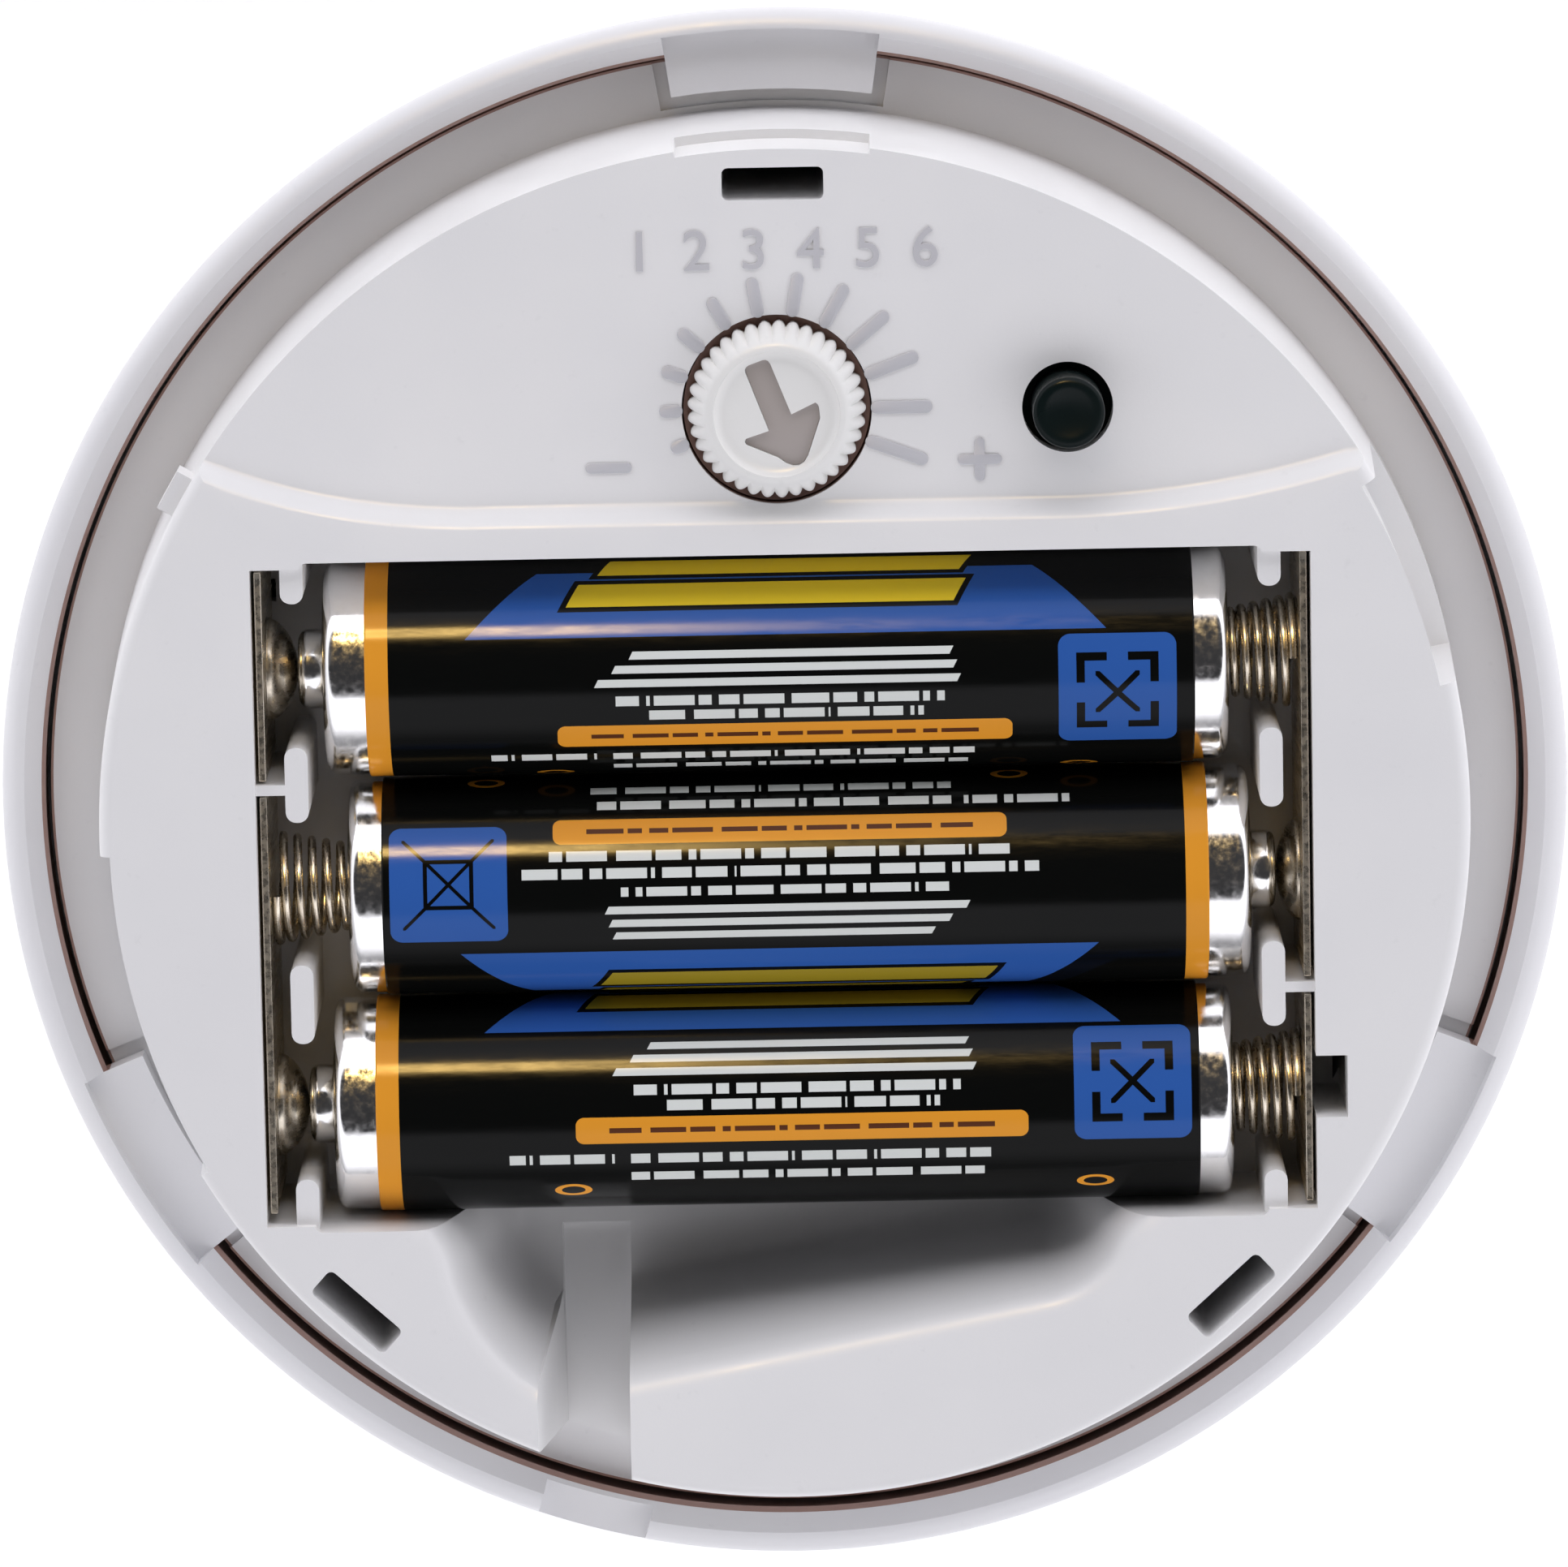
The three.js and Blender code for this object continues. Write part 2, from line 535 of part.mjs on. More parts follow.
const switchBody = (x, y, z0, z1) => box(x - 3, x + 3, y - 3, y + 3, z0, z1);

// ---------------------------------------------------------------- assembly
const detector = new THREE.Group();
detector.name = "smoke_detector";

function geometryOf(made) {
  const m = made.getMesh();
  const g = new THREE.BufferGeometry();
  g.setAttribute("position", new THREE.BufferAttribute(new Float32Array(m.vertProperties), 3));
  g.setIndex(new THREE.BufferAttribute(new Uint32Array(m.triVerts), 1));
  g.computeVertexNormals();
  return g;
}

function add(name, made, material, parent = detector) {
  const mesh = new THREE.Mesh(geometryOf(made), MATERIALS[material]());
  mesh.name = name;
  parent.add(mesh);
  return mesh;
}

add("front_cover", frontCover(), "white");
add("chassis", chassis(), "white");
add("pcb", board(), "board");

add("sensitivity_knob", sensitivityKnob(), "dialWhite");
add("trimmer_body", box(-4.75, 4.75, DIAL.y - 4.75, DIAL.y + 4.75, PCB.z1 + 0.05, 27), "dark");
add("tamper_button", tamperButton(), "dark");
add("tamper_switch", switchBody(TAMPER.x, TAMPER.y, PCB.z1 + 0.05, 23.6), "black");
const tamperCoil = coil(23.7, 26, 1.3, 1.3, 3, 0.18, 10).translate(TAMPER.x, TAMPER.y, 0);
add("tamper_spring", solid(tamperCoil), "steel");

for (const cell of CELLS) {
  const holder = new THREE.Group();
  holder.position.set(cell.shift, cell.y, CELL.z);
  if (cell.plus < 0) holder.rotation.z = Math.PI;
  add(`battery_${cell.name}_can`, cellCan(), "steel", holder);
  add(`battery_${cell.name}_sleeve`, cellSleeve(), "jacket", holder);
  detector.add(holder);
  add(`contact_spring_${cell.name}`, cellSpring(cell), "nickel");
}
const [topCell, middleCell, bottomCell] = CELLS;
add("contact_left_single", contactPlate(-1, 2.65, 12.7, [topCell], 10), "nickel");
add("contact_left_double", contactPlate(-1, -18.3, 1.9, [bottomCell]), "nickel");
add("contact_right_double", contactPlate(1, -7.7, 12.8, [middleCell]), "nickel");
add("contact_right_single", contactPlate(1, -18.6, -8.55, [], -15.9), "nickel");

SCREWS.forEach((place, i) => add(`case_screw_${i + 1}`, caseScrew(place), "steel"));

add("chamber_base", chamberBase(), "black");
add("chamber_labyrinth", labyrinth(), "black");
add("insect_screen", insectScreen(), "mesh");
add("infrared_emitter", opticalElement(-1), "clear");
add("photodiode", opticalElement(1), "dark");
add("sounder_housing", sounderHousing(), "black");
add("sounder_disc", post(SOUNDER.x, SOUNDER.y, 10.1, 10.5, SOUNDER.r - 1.4, SOUNDER.r - 1.4, 36), "brass");

add("test_button", testButton(), "white");
add("test_switch", switchBody(TEST.x, TEST.y, 15.1, PCB.z0 - 0.05), "black");
add("light_pipe", post(LIGHT.x, LIGHT.y, 0.1, 13.5, LIGHT.r, LIGHT.r, 16), "clear");
const led = turned([[0, 13.8], [1, 14.1], [1.4, 14.8], [1.4, 18.5], [0, 18.5]], 16);
add("alarm_led", led.translate([LIGHT.x, LIGHT.y, 0]), "red");
add("microcontroller", box(-4.5, 4.5, 18.5, 25.5, 17.2, PCB.z0 - 0.05), "black");
add("capacitor", post(-12.5, 20.5, PCB.z1 + 0.05, 30.2, 3.1, 3.1, FINE), "dark");

export default detector;
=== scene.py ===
"""Looks of a round battery smoke detector, seen from its ceiling side.

Outlines below are in millimetres in the CAD frame's own axes: the front face is at z = 0, +Z points to the
ceiling side, +Y towards the sensitivity dial. Angles given in degrees on the case run clockwise from +Y.
"""

import math

import bmesh
import bpy
from mathutils import Matrix, Vector


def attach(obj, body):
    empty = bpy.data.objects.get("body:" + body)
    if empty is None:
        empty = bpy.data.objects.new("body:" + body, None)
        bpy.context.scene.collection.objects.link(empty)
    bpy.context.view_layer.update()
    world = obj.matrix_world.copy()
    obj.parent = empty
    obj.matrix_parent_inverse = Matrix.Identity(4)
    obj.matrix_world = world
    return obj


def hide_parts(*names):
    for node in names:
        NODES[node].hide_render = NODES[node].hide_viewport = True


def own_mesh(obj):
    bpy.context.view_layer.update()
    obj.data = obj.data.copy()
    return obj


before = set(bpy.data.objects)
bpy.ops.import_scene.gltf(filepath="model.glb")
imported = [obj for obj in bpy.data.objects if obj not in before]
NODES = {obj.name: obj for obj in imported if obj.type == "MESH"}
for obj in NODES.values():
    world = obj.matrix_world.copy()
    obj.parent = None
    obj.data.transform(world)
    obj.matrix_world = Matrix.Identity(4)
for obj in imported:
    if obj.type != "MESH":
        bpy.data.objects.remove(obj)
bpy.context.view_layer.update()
SCENE = bpy.context.scene
MM = 0.001

# ---------------------------------------------------------------- sizes that the visual pieces share
# Front cover, and the lugs on its rim
COVER_R, CREST_R, LIP_R, LIP_Z, CREST_Z, WIDEST_Z = 38.0, 37.05, 36.0, 23.7, 25.1, 24.0
TIER_R, TIER_Z, WALL = 31.0, 9.0, 2.0
LUG_ANGLES, LUG_HALF, LUG_R, LUG_OUTER_R = (0, 120, 240), 8.15, 34.1, 37.1
LUG_Z0, LUG_Z1, NOTCH_EXTRA, NOTCH_R, NOTCH_Z = 22.3, 23.9, 1.1, 33.4, 22.1
# Chassis: heights of its faces, flange and cavity, then the cell bay and the pockets at its ends
PLATFORM, DIAL_FLOOR, FLANGE_Z, SKIRT_Z, CAVITY_Z = 36.4, 35.4, 22.4, 20.9, 33.8
FLANGE_R, DRUM_FOOT_R, DRUM_R, DRUM_EDGE = 35.82, 33.1, 32.6, 0.7
BAY_FLOOR, BAY_UNDER, BAY_X, BAY_Y0, BAY_Y1, POCKET_X = 25.8, 24.3, 22.8, -19.1, 13.2, 25.1
UPPER_HOOK_R, LOWER_HOOK_R, LOWER_HOOK_ANGLE = 30.7, 31.1, 137.7
CABLE_NOTCH_ANGLE, CABLE_NOTCH_Z = 195.6, 24.2
# Dial and plunger
DIAL_Y, DIAL_TOP, POINTER, WELL_R = 20.0, 37.4, 158.5, 4.5
TAMPER = (13.75, 19.85)
# Contact plates, then the cells: each one's axis in Y, its shift along X and the side its plus end faces
PLATE_X, PLATE_T, PLATE_Z0, PLATE_Z1 = 24.6, 0.35, 26.0, 35.6
CELL_R, CELL_LEN, CELL_NUB, CELL_Z = 5.22, 43.0, 1.3, 31.2
CELLS = {"top": (7.4, -0.3, -1), "middle": (-3.2, 0.65, 1), "bottom": (-13.8, -0.3, -1)}
# Screws, and what shows on the front
SCREWS = ((-6.5, 11), (-11, -12), (19, -15.5))
TEST = (0, -19)
LIGHT = (11, -20.5)
SOUNDER = (-19.4, 3)


# ---------------------------------------------------------------- mesh helpers, all in millimetres
def mesh_object(name, verts, faces):
    mesh = bpy.data.meshes.new(name)
    mesh.from_pydata([Vector(v) * MM for v in verts], [], faces)
    mesh.validate()
    obj = bpy.data.objects.new(name, mesh)
    SCENE.collection.objects.link(obj)
    tidy_normals(obj)
    return obj


def tidy_normals(obj):
    bm = bmesh.new()
    bm.from_mesh(obj.data)
    bmesh.ops.recalc_face_normals(bm, faces=bm.faces)
    bm.to_mesh(obj.data)
    bm.free()


def circle(r, count, x=0.0, y=0.0, start=0.0):
    turn = [start + 2 * math.pi * i / count for i in range(count)]
    return [(x + r * math.cos(a), y + r * math.sin(a)) for a in turn]


def arc(cx, cy, r, a0, a1, steps):
    turn = [math.radians(a0 + (a1 - a0) * i / steps) for i in range(steps + 1)]
    return [(cx + r * math.cos(a), cy + r * math.sin(a)) for a in turn]


def polar(angle, r):
    """A point given by an angle clockwise from +Y."""
    a = math.radians(angle)
    return r * math.sin(a), r * math.cos(a)


def bezier(p0, p1, p2, steps=8):
    """Points of a quadratic curve after its first point."""
    made = []
    for i in range(steps):
        t = (i + 1) / steps
        made.append(tuple((1 - t) ** 2 * a + 2 * t * (1 - t) * b + t * t * c for a, b, c in zip(p0, p1, p2)))
    return made


def lathe(name, profile, segments, closed=False):
    """Turns [radius, height] pairs about Z. Pairs at radius 0 become one point."""
    verts, rings = [], []
    for r, z in profile:
        if r < 1e-6:
            rings.append([len(verts)])
            verts.append((0, 0, z))
        else:
            rings.append(list(range(len(verts), len(verts) + segments)))
            verts += [(x, y, z) for x, y in circle(r, segments)]
    faces = []
    pairs = list(zip(rings, rings[1:] + ([rings[0]] if closed else [])))
    for a, b in pairs[: len(rings) if closed else len(rings) - 1]:
        for i in range(segments):
            j = (i + 1) % segments
            if len(a) == 1 and len(b) == 1:
                continue
            if len(a) == 1:
                faces.append((a[0], b[j], b[i]))
            elif len(b) == 1:
                faces.append((a[i], a[j], b[0]))
            else:
                faces.append((a[i], a[j], b[j], b[i]))
    return mesh_object(name, verts, faces)


def loft(name, rings):
    """Closes a stack of outlines, each [(x, y)] at its own height, into a solid."""
    count = len(rings[0][0])
    verts = [(x, y, z) for ring, z in rings for x, y in ring]
    faces = [tuple(range(count)), tuple(range(len(verts) - count, len(verts)))]
    for k in range(len(rings) - 1):
        for i in range(count):
            j = (i + 1) % count
            a, b = k * count, (k + 1) * count
            faces.append((a + i, a + j, b + j, b + i))
    return mesh_object(name, verts, faces)


def prism(outline, z0, z1, name="tool"):
    return loft(name, [(outline, z0), (outline, z1)])


def post(x, y, z0, z1, r, segments=48, name="tool"):
    return prism(circle(r, segments, x, y), z0, z1, name)


def block(x0, x1, y0, y1, z0, z1, r=0.0, name="tool"):
    if r <= 0:
        return prism([(x0, y0), (x1, y0), (x1, y1), (x0, y1)], z0, z1, name)
    corners = ((x1 - r, y0 + r, -90), (x1 - r, y1 - r, 0), (x0 + r, y1 - r, 90), (x0 + r, y0 + r, 180))
    outline = [p for cx, cy, a in corners for p in arc(cx, cy, r, a, a + 90, 5)]
    return prism(outline, z0, z1, name)


def turned_block(angle, radius, width, depth, z0, z1, r=0.0):
    obj = block(-width / 2, width / 2, radius - depth / 2, radius + depth / 2, z0, z1, r)
    obj.data.transform(Matrix.Rotation(math.radians(-angle), 4, "Z"))
    return obj


def sector(centre, half, r0, r1, z0, z1, steps=16):
    span = [centre - half + 2 * half * i / steps for i in range(steps + 1)]
    outline = [polar(a, r1) for a in span] + [polar(a, r0) for a in reversed(span)]
    return prism(outline, z0, z1)


# Sets a prism up so that its outline lies in X and Z
SWAP_YZ = Matrix(((1, 0, 0, 0), (0, 0, 1, 0), (0, 1, 0, 0), (0, 0, 0, 1)))


def inset_outline(outline, amount):
    """Moves each corner inwards; the outline runs counter-clockwise."""
    made, count = [], len(outline)
    for i, here in enumerate(outline):
        p, a, b = Vector(here), Vector(outline[i - 1]), Vector(outline[(i + 1) % count])
        along = (p - a).normalized() + (b - p).normalized()
        made.append(tuple(p + Vector((-along.y, along.x)).normalized() * amount))
    return made


def cutter(outline, wall):
    """Tool that hollows an outline out; the wall is a list of (inset, height), and it runs on upwards."""
    wall = [*wall, (wall[-1][0], wall[-1][1] + 3)]
    return loft("tool", [(inset_outline(outline, inset), z) for inset, z in wall])


def boolean(base, tools, operation):
    for tool in tools:
        modifier = base.modifiers.new("cut", "BOOLEAN")
        modifier.object, modifier.operation, modifier.solver = tool, operation, "MANIFOLD"
    apply_modifiers(base)
    for tool in tools:
        bpy.data.objects.remove(tool)
    return base


def apply_modifiers(obj):
    bpy.context.view_layer.update()
    evaluated = obj.evaluated_get(bpy.context.evaluated_depsgraph_get())
    mesh = bpy.data.meshes.new_from_object(evaluated)
    obj.modifiers.clear()
    obj.data = mesh


def soften(obj, width=0.3, segments=3, angle=32):
    """Rounds the edges of moulded plastic and smooths the faces between them."""
    bm = bmesh.new()
    bm.from_mesh(obj.data)
    bmesh.ops.remove_doubles(bm, verts=bm.verts, dist=0.004 * MM)
    bmesh.ops.dissolve_degenerate(bm, edges=bm.edges, dist=0.002 * MM)
    bm.to_mesh(obj.data)
    bm.free()
    if width:
        bevel = obj.modifiers.new("edges", "BEVEL")
        bevel.width, bevel.segments, bevel.limit_method = width * MM, segments, "ANGLE"
        bevel.angle_limit, bevel.harden_normals, bevel.use_clamp_overlap = math.radians(angle), True, True
        bevel.miter_outer = "MITER_ARC"
    smooth(obj, angle)
    if width:
        apply_modifiers(obj)
    return obj


def smooth(obj, angle=35):
    obj.data.set_sharp_from_angle(angle=math.radians(angle))
    for p in obj.data.polygons:
        p.use_smooth = True


def place(obj, body, material, slot, *replaced):
    """Gives a piece its finish and the body that it rides on."""
    if material:
        obj.data.materials.clear()
        obj.data.materials.append(material)
    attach(obj, body)
    if replaced:
        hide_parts(*replaced)
    return obj


# ---------------------------------------------------------------- material helpers
class Value:
    """A shader value that ordinary arithmetic turns into Math nodes."""

    def __init__(self, tree, socket):
        self.tree, self.socket = tree, socket

    def math(self, operation, *others, clamp=False):
        node = self.tree.nodes.new("ShaderNodeMath")
        node.operation, node.use_clamp = operation, clamp
        for i, item in enumerate((self, *others)):
            if isinstance(item, Value):
                self.tree.links.new(item.socket, node.inputs[i])
            else:
                node.inputs[i].default_value = item
        return Value(self.tree, node.outputs[0])

    def __add__(self, o): return self.math("ADD", o)
    def __sub__(self, o): return self.math("SUBTRACT", o)
    def __mul__(self, o): return self.math("MULTIPLY", o)
    def __truediv__(self, o): return self.math("DIVIDE", o)
    def abs(self): return self.math("ABSOLUTE")
    def below(self, o): return self.math("LESS_THAN", o)
    def above(self, o): return self.math("GREATER_THAN", o)
    def low(self, o): return self.math("MINIMUM", o)
    def high(self, o): return self.math("MAXIMUM", o)
    def within(self, centre, half): return (self - centre).abs().below(half)


class Finish:
    """A Principled material being built: noise, ramps and mixes in a few words each."""

    def __init__(self, name, color, roughness, metallic=0.0, specular=0.5):
        self.material = bpy.data.materials.new(name)
        self.material.use_nodes = True
        self.tree = self.material.node_tree
        self.shader = self.tree.nodes["Principled BSDF"]
        self.shader.inputs["Base Color"].default_value = (*color, 1)
        self.shader.inputs["Roughness"].default_value = roughness
        self.shader.inputs["Metallic"].default_value = metallic
        self.shader.inputs["Specular IOR Level"].default_value = specular
        self.coords = self.tree.nodes.new("ShaderNodeTexCoord").outputs["Object"]

    def axis(self, index):
        split = self.tree.nodes.new("ShaderNodeSeparateXYZ")
        self.tree.links.new(self.coords, split.inputs[0])
        return Value(self.tree, split.outputs[index]) * 1000.0

    def noise(self, size_mm, detail=3.0, roughness=0.5, stretch=(1, 1, 1)):
        mapping = self.tree.nodes.new("ShaderNodeMapping")
        mapping.inputs["Scale"].default_value = stretch
        self.tree.links.new(self.coords, mapping.inputs["Vector"])
        node = self.tree.nodes.new("ShaderNodeTexNoise")
        node.inputs["Scale"].default_value = 1 / (size_mm * MM)
        node.inputs["Detail"].default_value = detail
        node.inputs["Roughness"].default_value = roughness
        self.tree.links.new(mapping.outputs[0], node.inputs["Vector"])
        return Value(self.tree, node.outputs[0])

    def spread(self, value, low, high, out_low=0.0, out_high=1.0):
        node = self.tree.nodes.new("ShaderNodeMapRange")
        for i, number in enumerate((low, high, out_low, out_high)):
            node.inputs[i + 1].default_value = number
        self.tree.links.new(value.socket, node.inputs[0])
        return Value(self.tree, node.outputs[0])

    def mix(self, factor, a, b):
        node = self.tree.nodes.new("ShaderNodeMix")
        node.data_type = "RGBA"
        self.tree.links.new(factor.socket, node.inputs[0])
        for slot, item in ((6, a), (7, b)):
            if isinstance(item, tuple):
                node.inputs[slot].default_value = (*item, 1)
            else:
                self.tree.links.new(item, node.inputs[slot])
        return node.outputs[2]

    def drive(self, socket_name, item):
        self.tree.links.new(item.socket if isinstance(item, Value) else item, self.shader.inputs[socket_name])

    def bump(self, height, strength, distance_mm=0.05):
        node = self.tree.nodes.new("ShaderNodeBump")
        node.inputs["Strength"].default_value = strength
        node.inputs["Distance"].default_value = distance_mm * MM
        self.tree.links.new(height.socket, node.inputs["Height"])
        self.tree.links.new(node.outputs[0], self.shader.inputs["Normal"])


def moulded_plastic(name, color, shade, roughness=0.42, grain=0.22, specular=0.5, gap=None):
    """Satin moulding: faint tone drift, fine spark-eroded grain and rubbed patches.

    gap is a test that is 1 where the plastic lies deep in a gap; there the colour turns brown, as painted
    shade."""
    f = Finish(name, color, roughness, specular=specular)
    drift = f.spread(f.noise(14, 2), 0.3, 0.7)
    specks = f.spread(f.noise(0.9, 4, 0.6), 0.66, 0.74)
    base = f.mix(drift, color, shade)
    base = f.mix(specks * 0.12, base, tuple(0.72 * c for c in shade))
    # Painted shade: brown where the gap test holds
    f.drive("Base Color", f.mix(gap(f), base, GAP_SHADE_BROWN) if gap else base)
    rubbed = f.spread(f.noise(5, 4, 0.62), 0.4, 0.68, roughness + 0.06, roughness - 0.08)
    f.drive("Roughness", rubbed)
    fine = f.noise(0.16, 3, 0.6)
    f.bump(fine, grain, 0.02)
    return f.material


# ---------------------------------------------------------------- materials
# Brown painted shade for the deep gaps, the dial's well and the dial below its teeth
GAP_SHADE_BROWN = (0.34, 0.21, 0.175)


def radius_of(f):
    x, y = f.axis(0), f.axis(1)
    return (x * x + y * y).math("SQRT")


def chassis_gap_shade(f):
    """Where the chassis gets painted shade: the flange's edge and the walls of the dial's well."""
    x, y = f.axis(0), f.axis(1) - DIAL_Y
    well = (x * x + y * y).math("SQRT").below(WELL_R + 0.06) * f.axis(2).below(DIAL_FLOOR - 0.25)
    return radius_of(f).above(FLANGE_R - 0.12).high(well)


def cover_gap_shade(f):
    """Where the cover gets painted shade: the wall below the lip, which faces the flange's edge."""
    return radius_of(f).within(LIP_R + 0.2, 0.35) * f.axis(2).within(SKIRT_Z + 1, 2.0)


def dial_gap_shade(f):
    """Where the dial gets painted shade: the part of the dial below its teeth."""
    return f.axis(2).below(DIAL_FLOOR - 0.6)


WHITE = moulded_plastic("white_plastic", (0.83, 0.83, 0.83), (0.805, 0.805, 0.81), gap=chassis_gap_shade)
COVER_WHITE = moulded_plastic("cover_plastic", (0.83, 0.83, 0.84), (0.80, 0.80, 0.82), gap=cover_gap_shade)
BUTTON_WHITE = moulded_plastic("test_plastic", (0.80, 0.80, 0.81), (0.77, 0.77, 0.79))
DIAL_WHITE = moulded_plastic("dial_plastic", (0.85, 0.85, 0.83), (0.82, 0.82, 0.80), 0.36, gap=dial_gap_shade)
MARK_GREY = moulded_plastic("mark_grey", (0.56, 0.56, 0.59), (0.52, 0.52, 0.55), 0.5)
ARROW_GREY = moulded_plastic("arrow_grey", (0.42, 0.385, 0.375), (0.37, 0.33, 0.31), 0.5)
BUTTON = moulded_plastic("button_plastic", (0.004, 0.008, 0.008), (0.006, 0.011, 0.011), 0.3, specular=0.1)
BLACK = moulded_plastic("black_plastic", (0.012, 0.012, 0.012), (0.02, 0.02, 0.02), 0.5, specular=0.3)


def brushed(name, color, tarnish, roughness, size=(0.4, 6), amount=0.55):
    f = Finish(name, color, roughness, metallic=1.0)
    stains = f.spread(f.noise(2.2, 5, 0.65), 0.45, 0.7)
    f.drive("Base Color", f.mix(stains * amount, color, tarnish))
    streak = f.noise(size[0], 4, 0.6, (1, 1, size[0] / size[1]))
    f.drive("Roughness", f.spread(streak, 0.3, 0.7, roughness - 0.08, roughness + 0.12))
    f.bump(streak, 0.15, 0.01)
    return f.material


CONTACT = brushed("contact_nickel", (0.60, 0.55, 0.46), (0.30, 0.25, 0.19), 0.26)
SPRING = brushed("spring_steel", (0.66, 0.60, 0.50), (0.33, 0.27, 0.2), 0.24)
CAN = brushed("can_nickel", (0.86, 0.86, 0.86), (0.62, 0.61, 0.59), 0.13, amount=0.3)
STEEL = brushed("zinc_steel", (0.62, 0.63, 0.64), (0.4, 0.4, 0.4), 0.3)
BRASS = brushed("sounder_brass", (0.72, 0.52, 0.25), (0.5, 0.34, 0.16), 0.3)


def board_material():
    f = Finish("solder_mask", (0.018, 0.10, 0.045), 0.35)
    tracks = f.noise(1.6, 2, 0.4).within(0.5, 0.02)
    f.drive("Base Color", f.mix(tracks, (0.018, 0.10, 0.045), (0.03, 0.17, 0.08)))
    f.drive("Roughness", f.spread(f.noise(3, 3), 0.3, 0.7, 0.28, 0.45))
    f.bump(tracks, 0.3, 0.03)
    return f.material


def clear_material(name, color):
    f = Finish(name, color, 0.12)
    f.shader.inputs["Transmission Weight"].default_value = 0.85
    f.shader.inputs["IOR"].default_value = 1.49
    f.drive("Roughness", f.spread(f.noise(1.5, 3), 0.3, 0.7, 0.08, 0.2))
    f.bump(f.noise(0.3, 2), 0.1, 0.01)
    return f.material


BOARD = board_material()
CLEAR = clear_material("clear_acrylic", (0.9, 0.93, 0.95))
RED = clear_material("red_lens", (0.7, 0.03, 0.02))


PRINT_WHITE, PRINT_BLUE = (0.72, 0.75, 0.72), (0.03, 0.11, 0.40)
# The olive colour is painted shade: the yellow print, darkened for emblems that lie in shade
PRINT_ORANGE, PRINT_YELLOW, PRINT_YELLOW_IN_SHADE = (0.80, 0.33, 0.03), (0.85, 0.62, 0.03), (0.35, 0.26, 0.02)
FILM = (0.0035, 0.0038, 0.0035)


def cell_jacket(name, axis_y, shift, face, turn, slide, inverted, emblem):
    """Printed film on a cell, with plain bars and blocks where print would be, so that nothing can be read.

    u runs along the cell the way the print reads and w up across it, round the film, both in millimetres."""
    f = Finish(name, FILM, 0.2, specular=0.09)
    along = (f.axis(0) - shift) * face
    angle = (f.axis(1) - axis_y).math("ARCTAN2", f.axis(2) - CELL_Z)
    u, w = along - slide, angle * (CELL_R * face) - turn

    def bar(cu, cw, half_u, half_w, slant=0.0):
        return (u - cu - w * slant).abs().below(half_u) * (w - cw).abs().below(half_w)

    def rounded(cu, cw, half_u, half_w, r):
        du, dw = ((u - cu).abs() - (half_u - r)).high(0.0), ((w - cw).abs() - (half_w - r)).high(0.0)
        return (du * du + dw * dw).below(r * r)

    def words(cu, cw, half_u, half_w, seed):
        """A line of bars as long as words."""
        gaps = (u * 0.29 + seed).math("FRACT").above(0.10) * (u * 0.47 + seed * 3).math("FRACT").above(0.09)
        return bar(cu, cw, half_u, half_w) * gaps

    out = f.mix(along.within(2.5 - CELL_LEN / 2, 0.64), FILM, PRINT_ORANGE)
    trapezoid = (w - 2.0).above(0.0) * w.below(5.8) * (u - 0.1).abs().below((w - 2.0) * -0.9 + 15.2)
    out = f.mix(trapezoid, out, PRINT_BLUE)
    for cw, half_u in ((4.25, 9.2), (6.25, 8.6)):
        out = f.mix(bar(-2.7, cw, half_u + 0.3, 0.95, 0.45), out, FILM)
        out = f.mix(bar(-2.7, cw, half_u, 0.68, 0.45), out, emblem)
    for i, half_u in enumerate((7.6, 8.1, 8.6)):
        out = f.mix(bar(-0.2, 1.1 - 0.66 * i, half_u, 0.19, 0.5), out, PRINT_WHITE)
    lines = [(-0.2, -1.1, 7.8, 0.25), (0, -1.85, 6.6, 0.25)]
    pill_w, icon_w = -3.05, -1.1
    if inverted:
        lines = [(-0.2, -1.1, 7.8, 0.22), (0, -2.0, 12.3, 0.25), (0, -2.85, 11, 0.25)]
        pill_w, icon_w = -4.1, -1.6
    lines += [(-11.4, pill_w - 1.5, 2.6, 0.27)]
    lines += [(0.4, pill_w - 1.5, 8.6, 0.27), (0.4, pill_w - 2.6, 8.6, 0.27)]
    for i, (cu, cw, half_u, half_w) in enumerate(lines):
        out = f.mix(words(cu, cw, half_u, half_w, 0.37 * i), out, PRINT_WHITE)
    out = f.mix(rounded(0, pill_w, 10.8, 0.66, 0.4), out, PRINT_ORANGE)
    out = f.mix(words(0, pill_w, 9.2, 0.13, 0.2), out, (0.10, 0.03, 0.01))
    for cu in (-11.0, 14.0):
        du, dw = u - cu, w - pill_w + 3.6
        ring = (du * du * 0.3 + dw * dw).math("SQRT").within(0.4, 0.09)
        out = f.mix(ring, out, PRINT_ORANGE)
    out = f.mix(rounded(15.8, icon_w, 2.8, 2.85, 0.6), out, PRINT_BLUE)
    p, q = (u - 15.8).abs(), (w - icon_w).abs()
    far, near, diagonal = p.high(q), p.low(q), (p - q).abs()
    if inverted:
        mark = (diagonal.below(0.12) * far.below(2.2)).high(far.within(1.1, 0.1))
    else:
        mark = (diagonal.below(0.2) * far.below(1.05)).high(far.within(1.75, 0.2) * near.above(0.5))
    out = f.mix(mark, out, FILM)
    f.drive("Base Color", out)
    scuff = f.noise(0.35, 5, 0.7, (0.15, 1, 1))
    f.drive("Roughness", f.spread(scuff, 0.35, 0.75, 0.12, 0.22))
    f.bump(f.noise(0.5, 4, 0.6, (0.3, 1, 1)), 0.07, 0.02)
    return f.material


# ---------------------------------------------------------------- camera, lights, floor
# How bright the dome is above and below about 25 degrees over the horizon
UPPER_STRENGTH, LOWER_STRENGTH = 2.06, 1.16


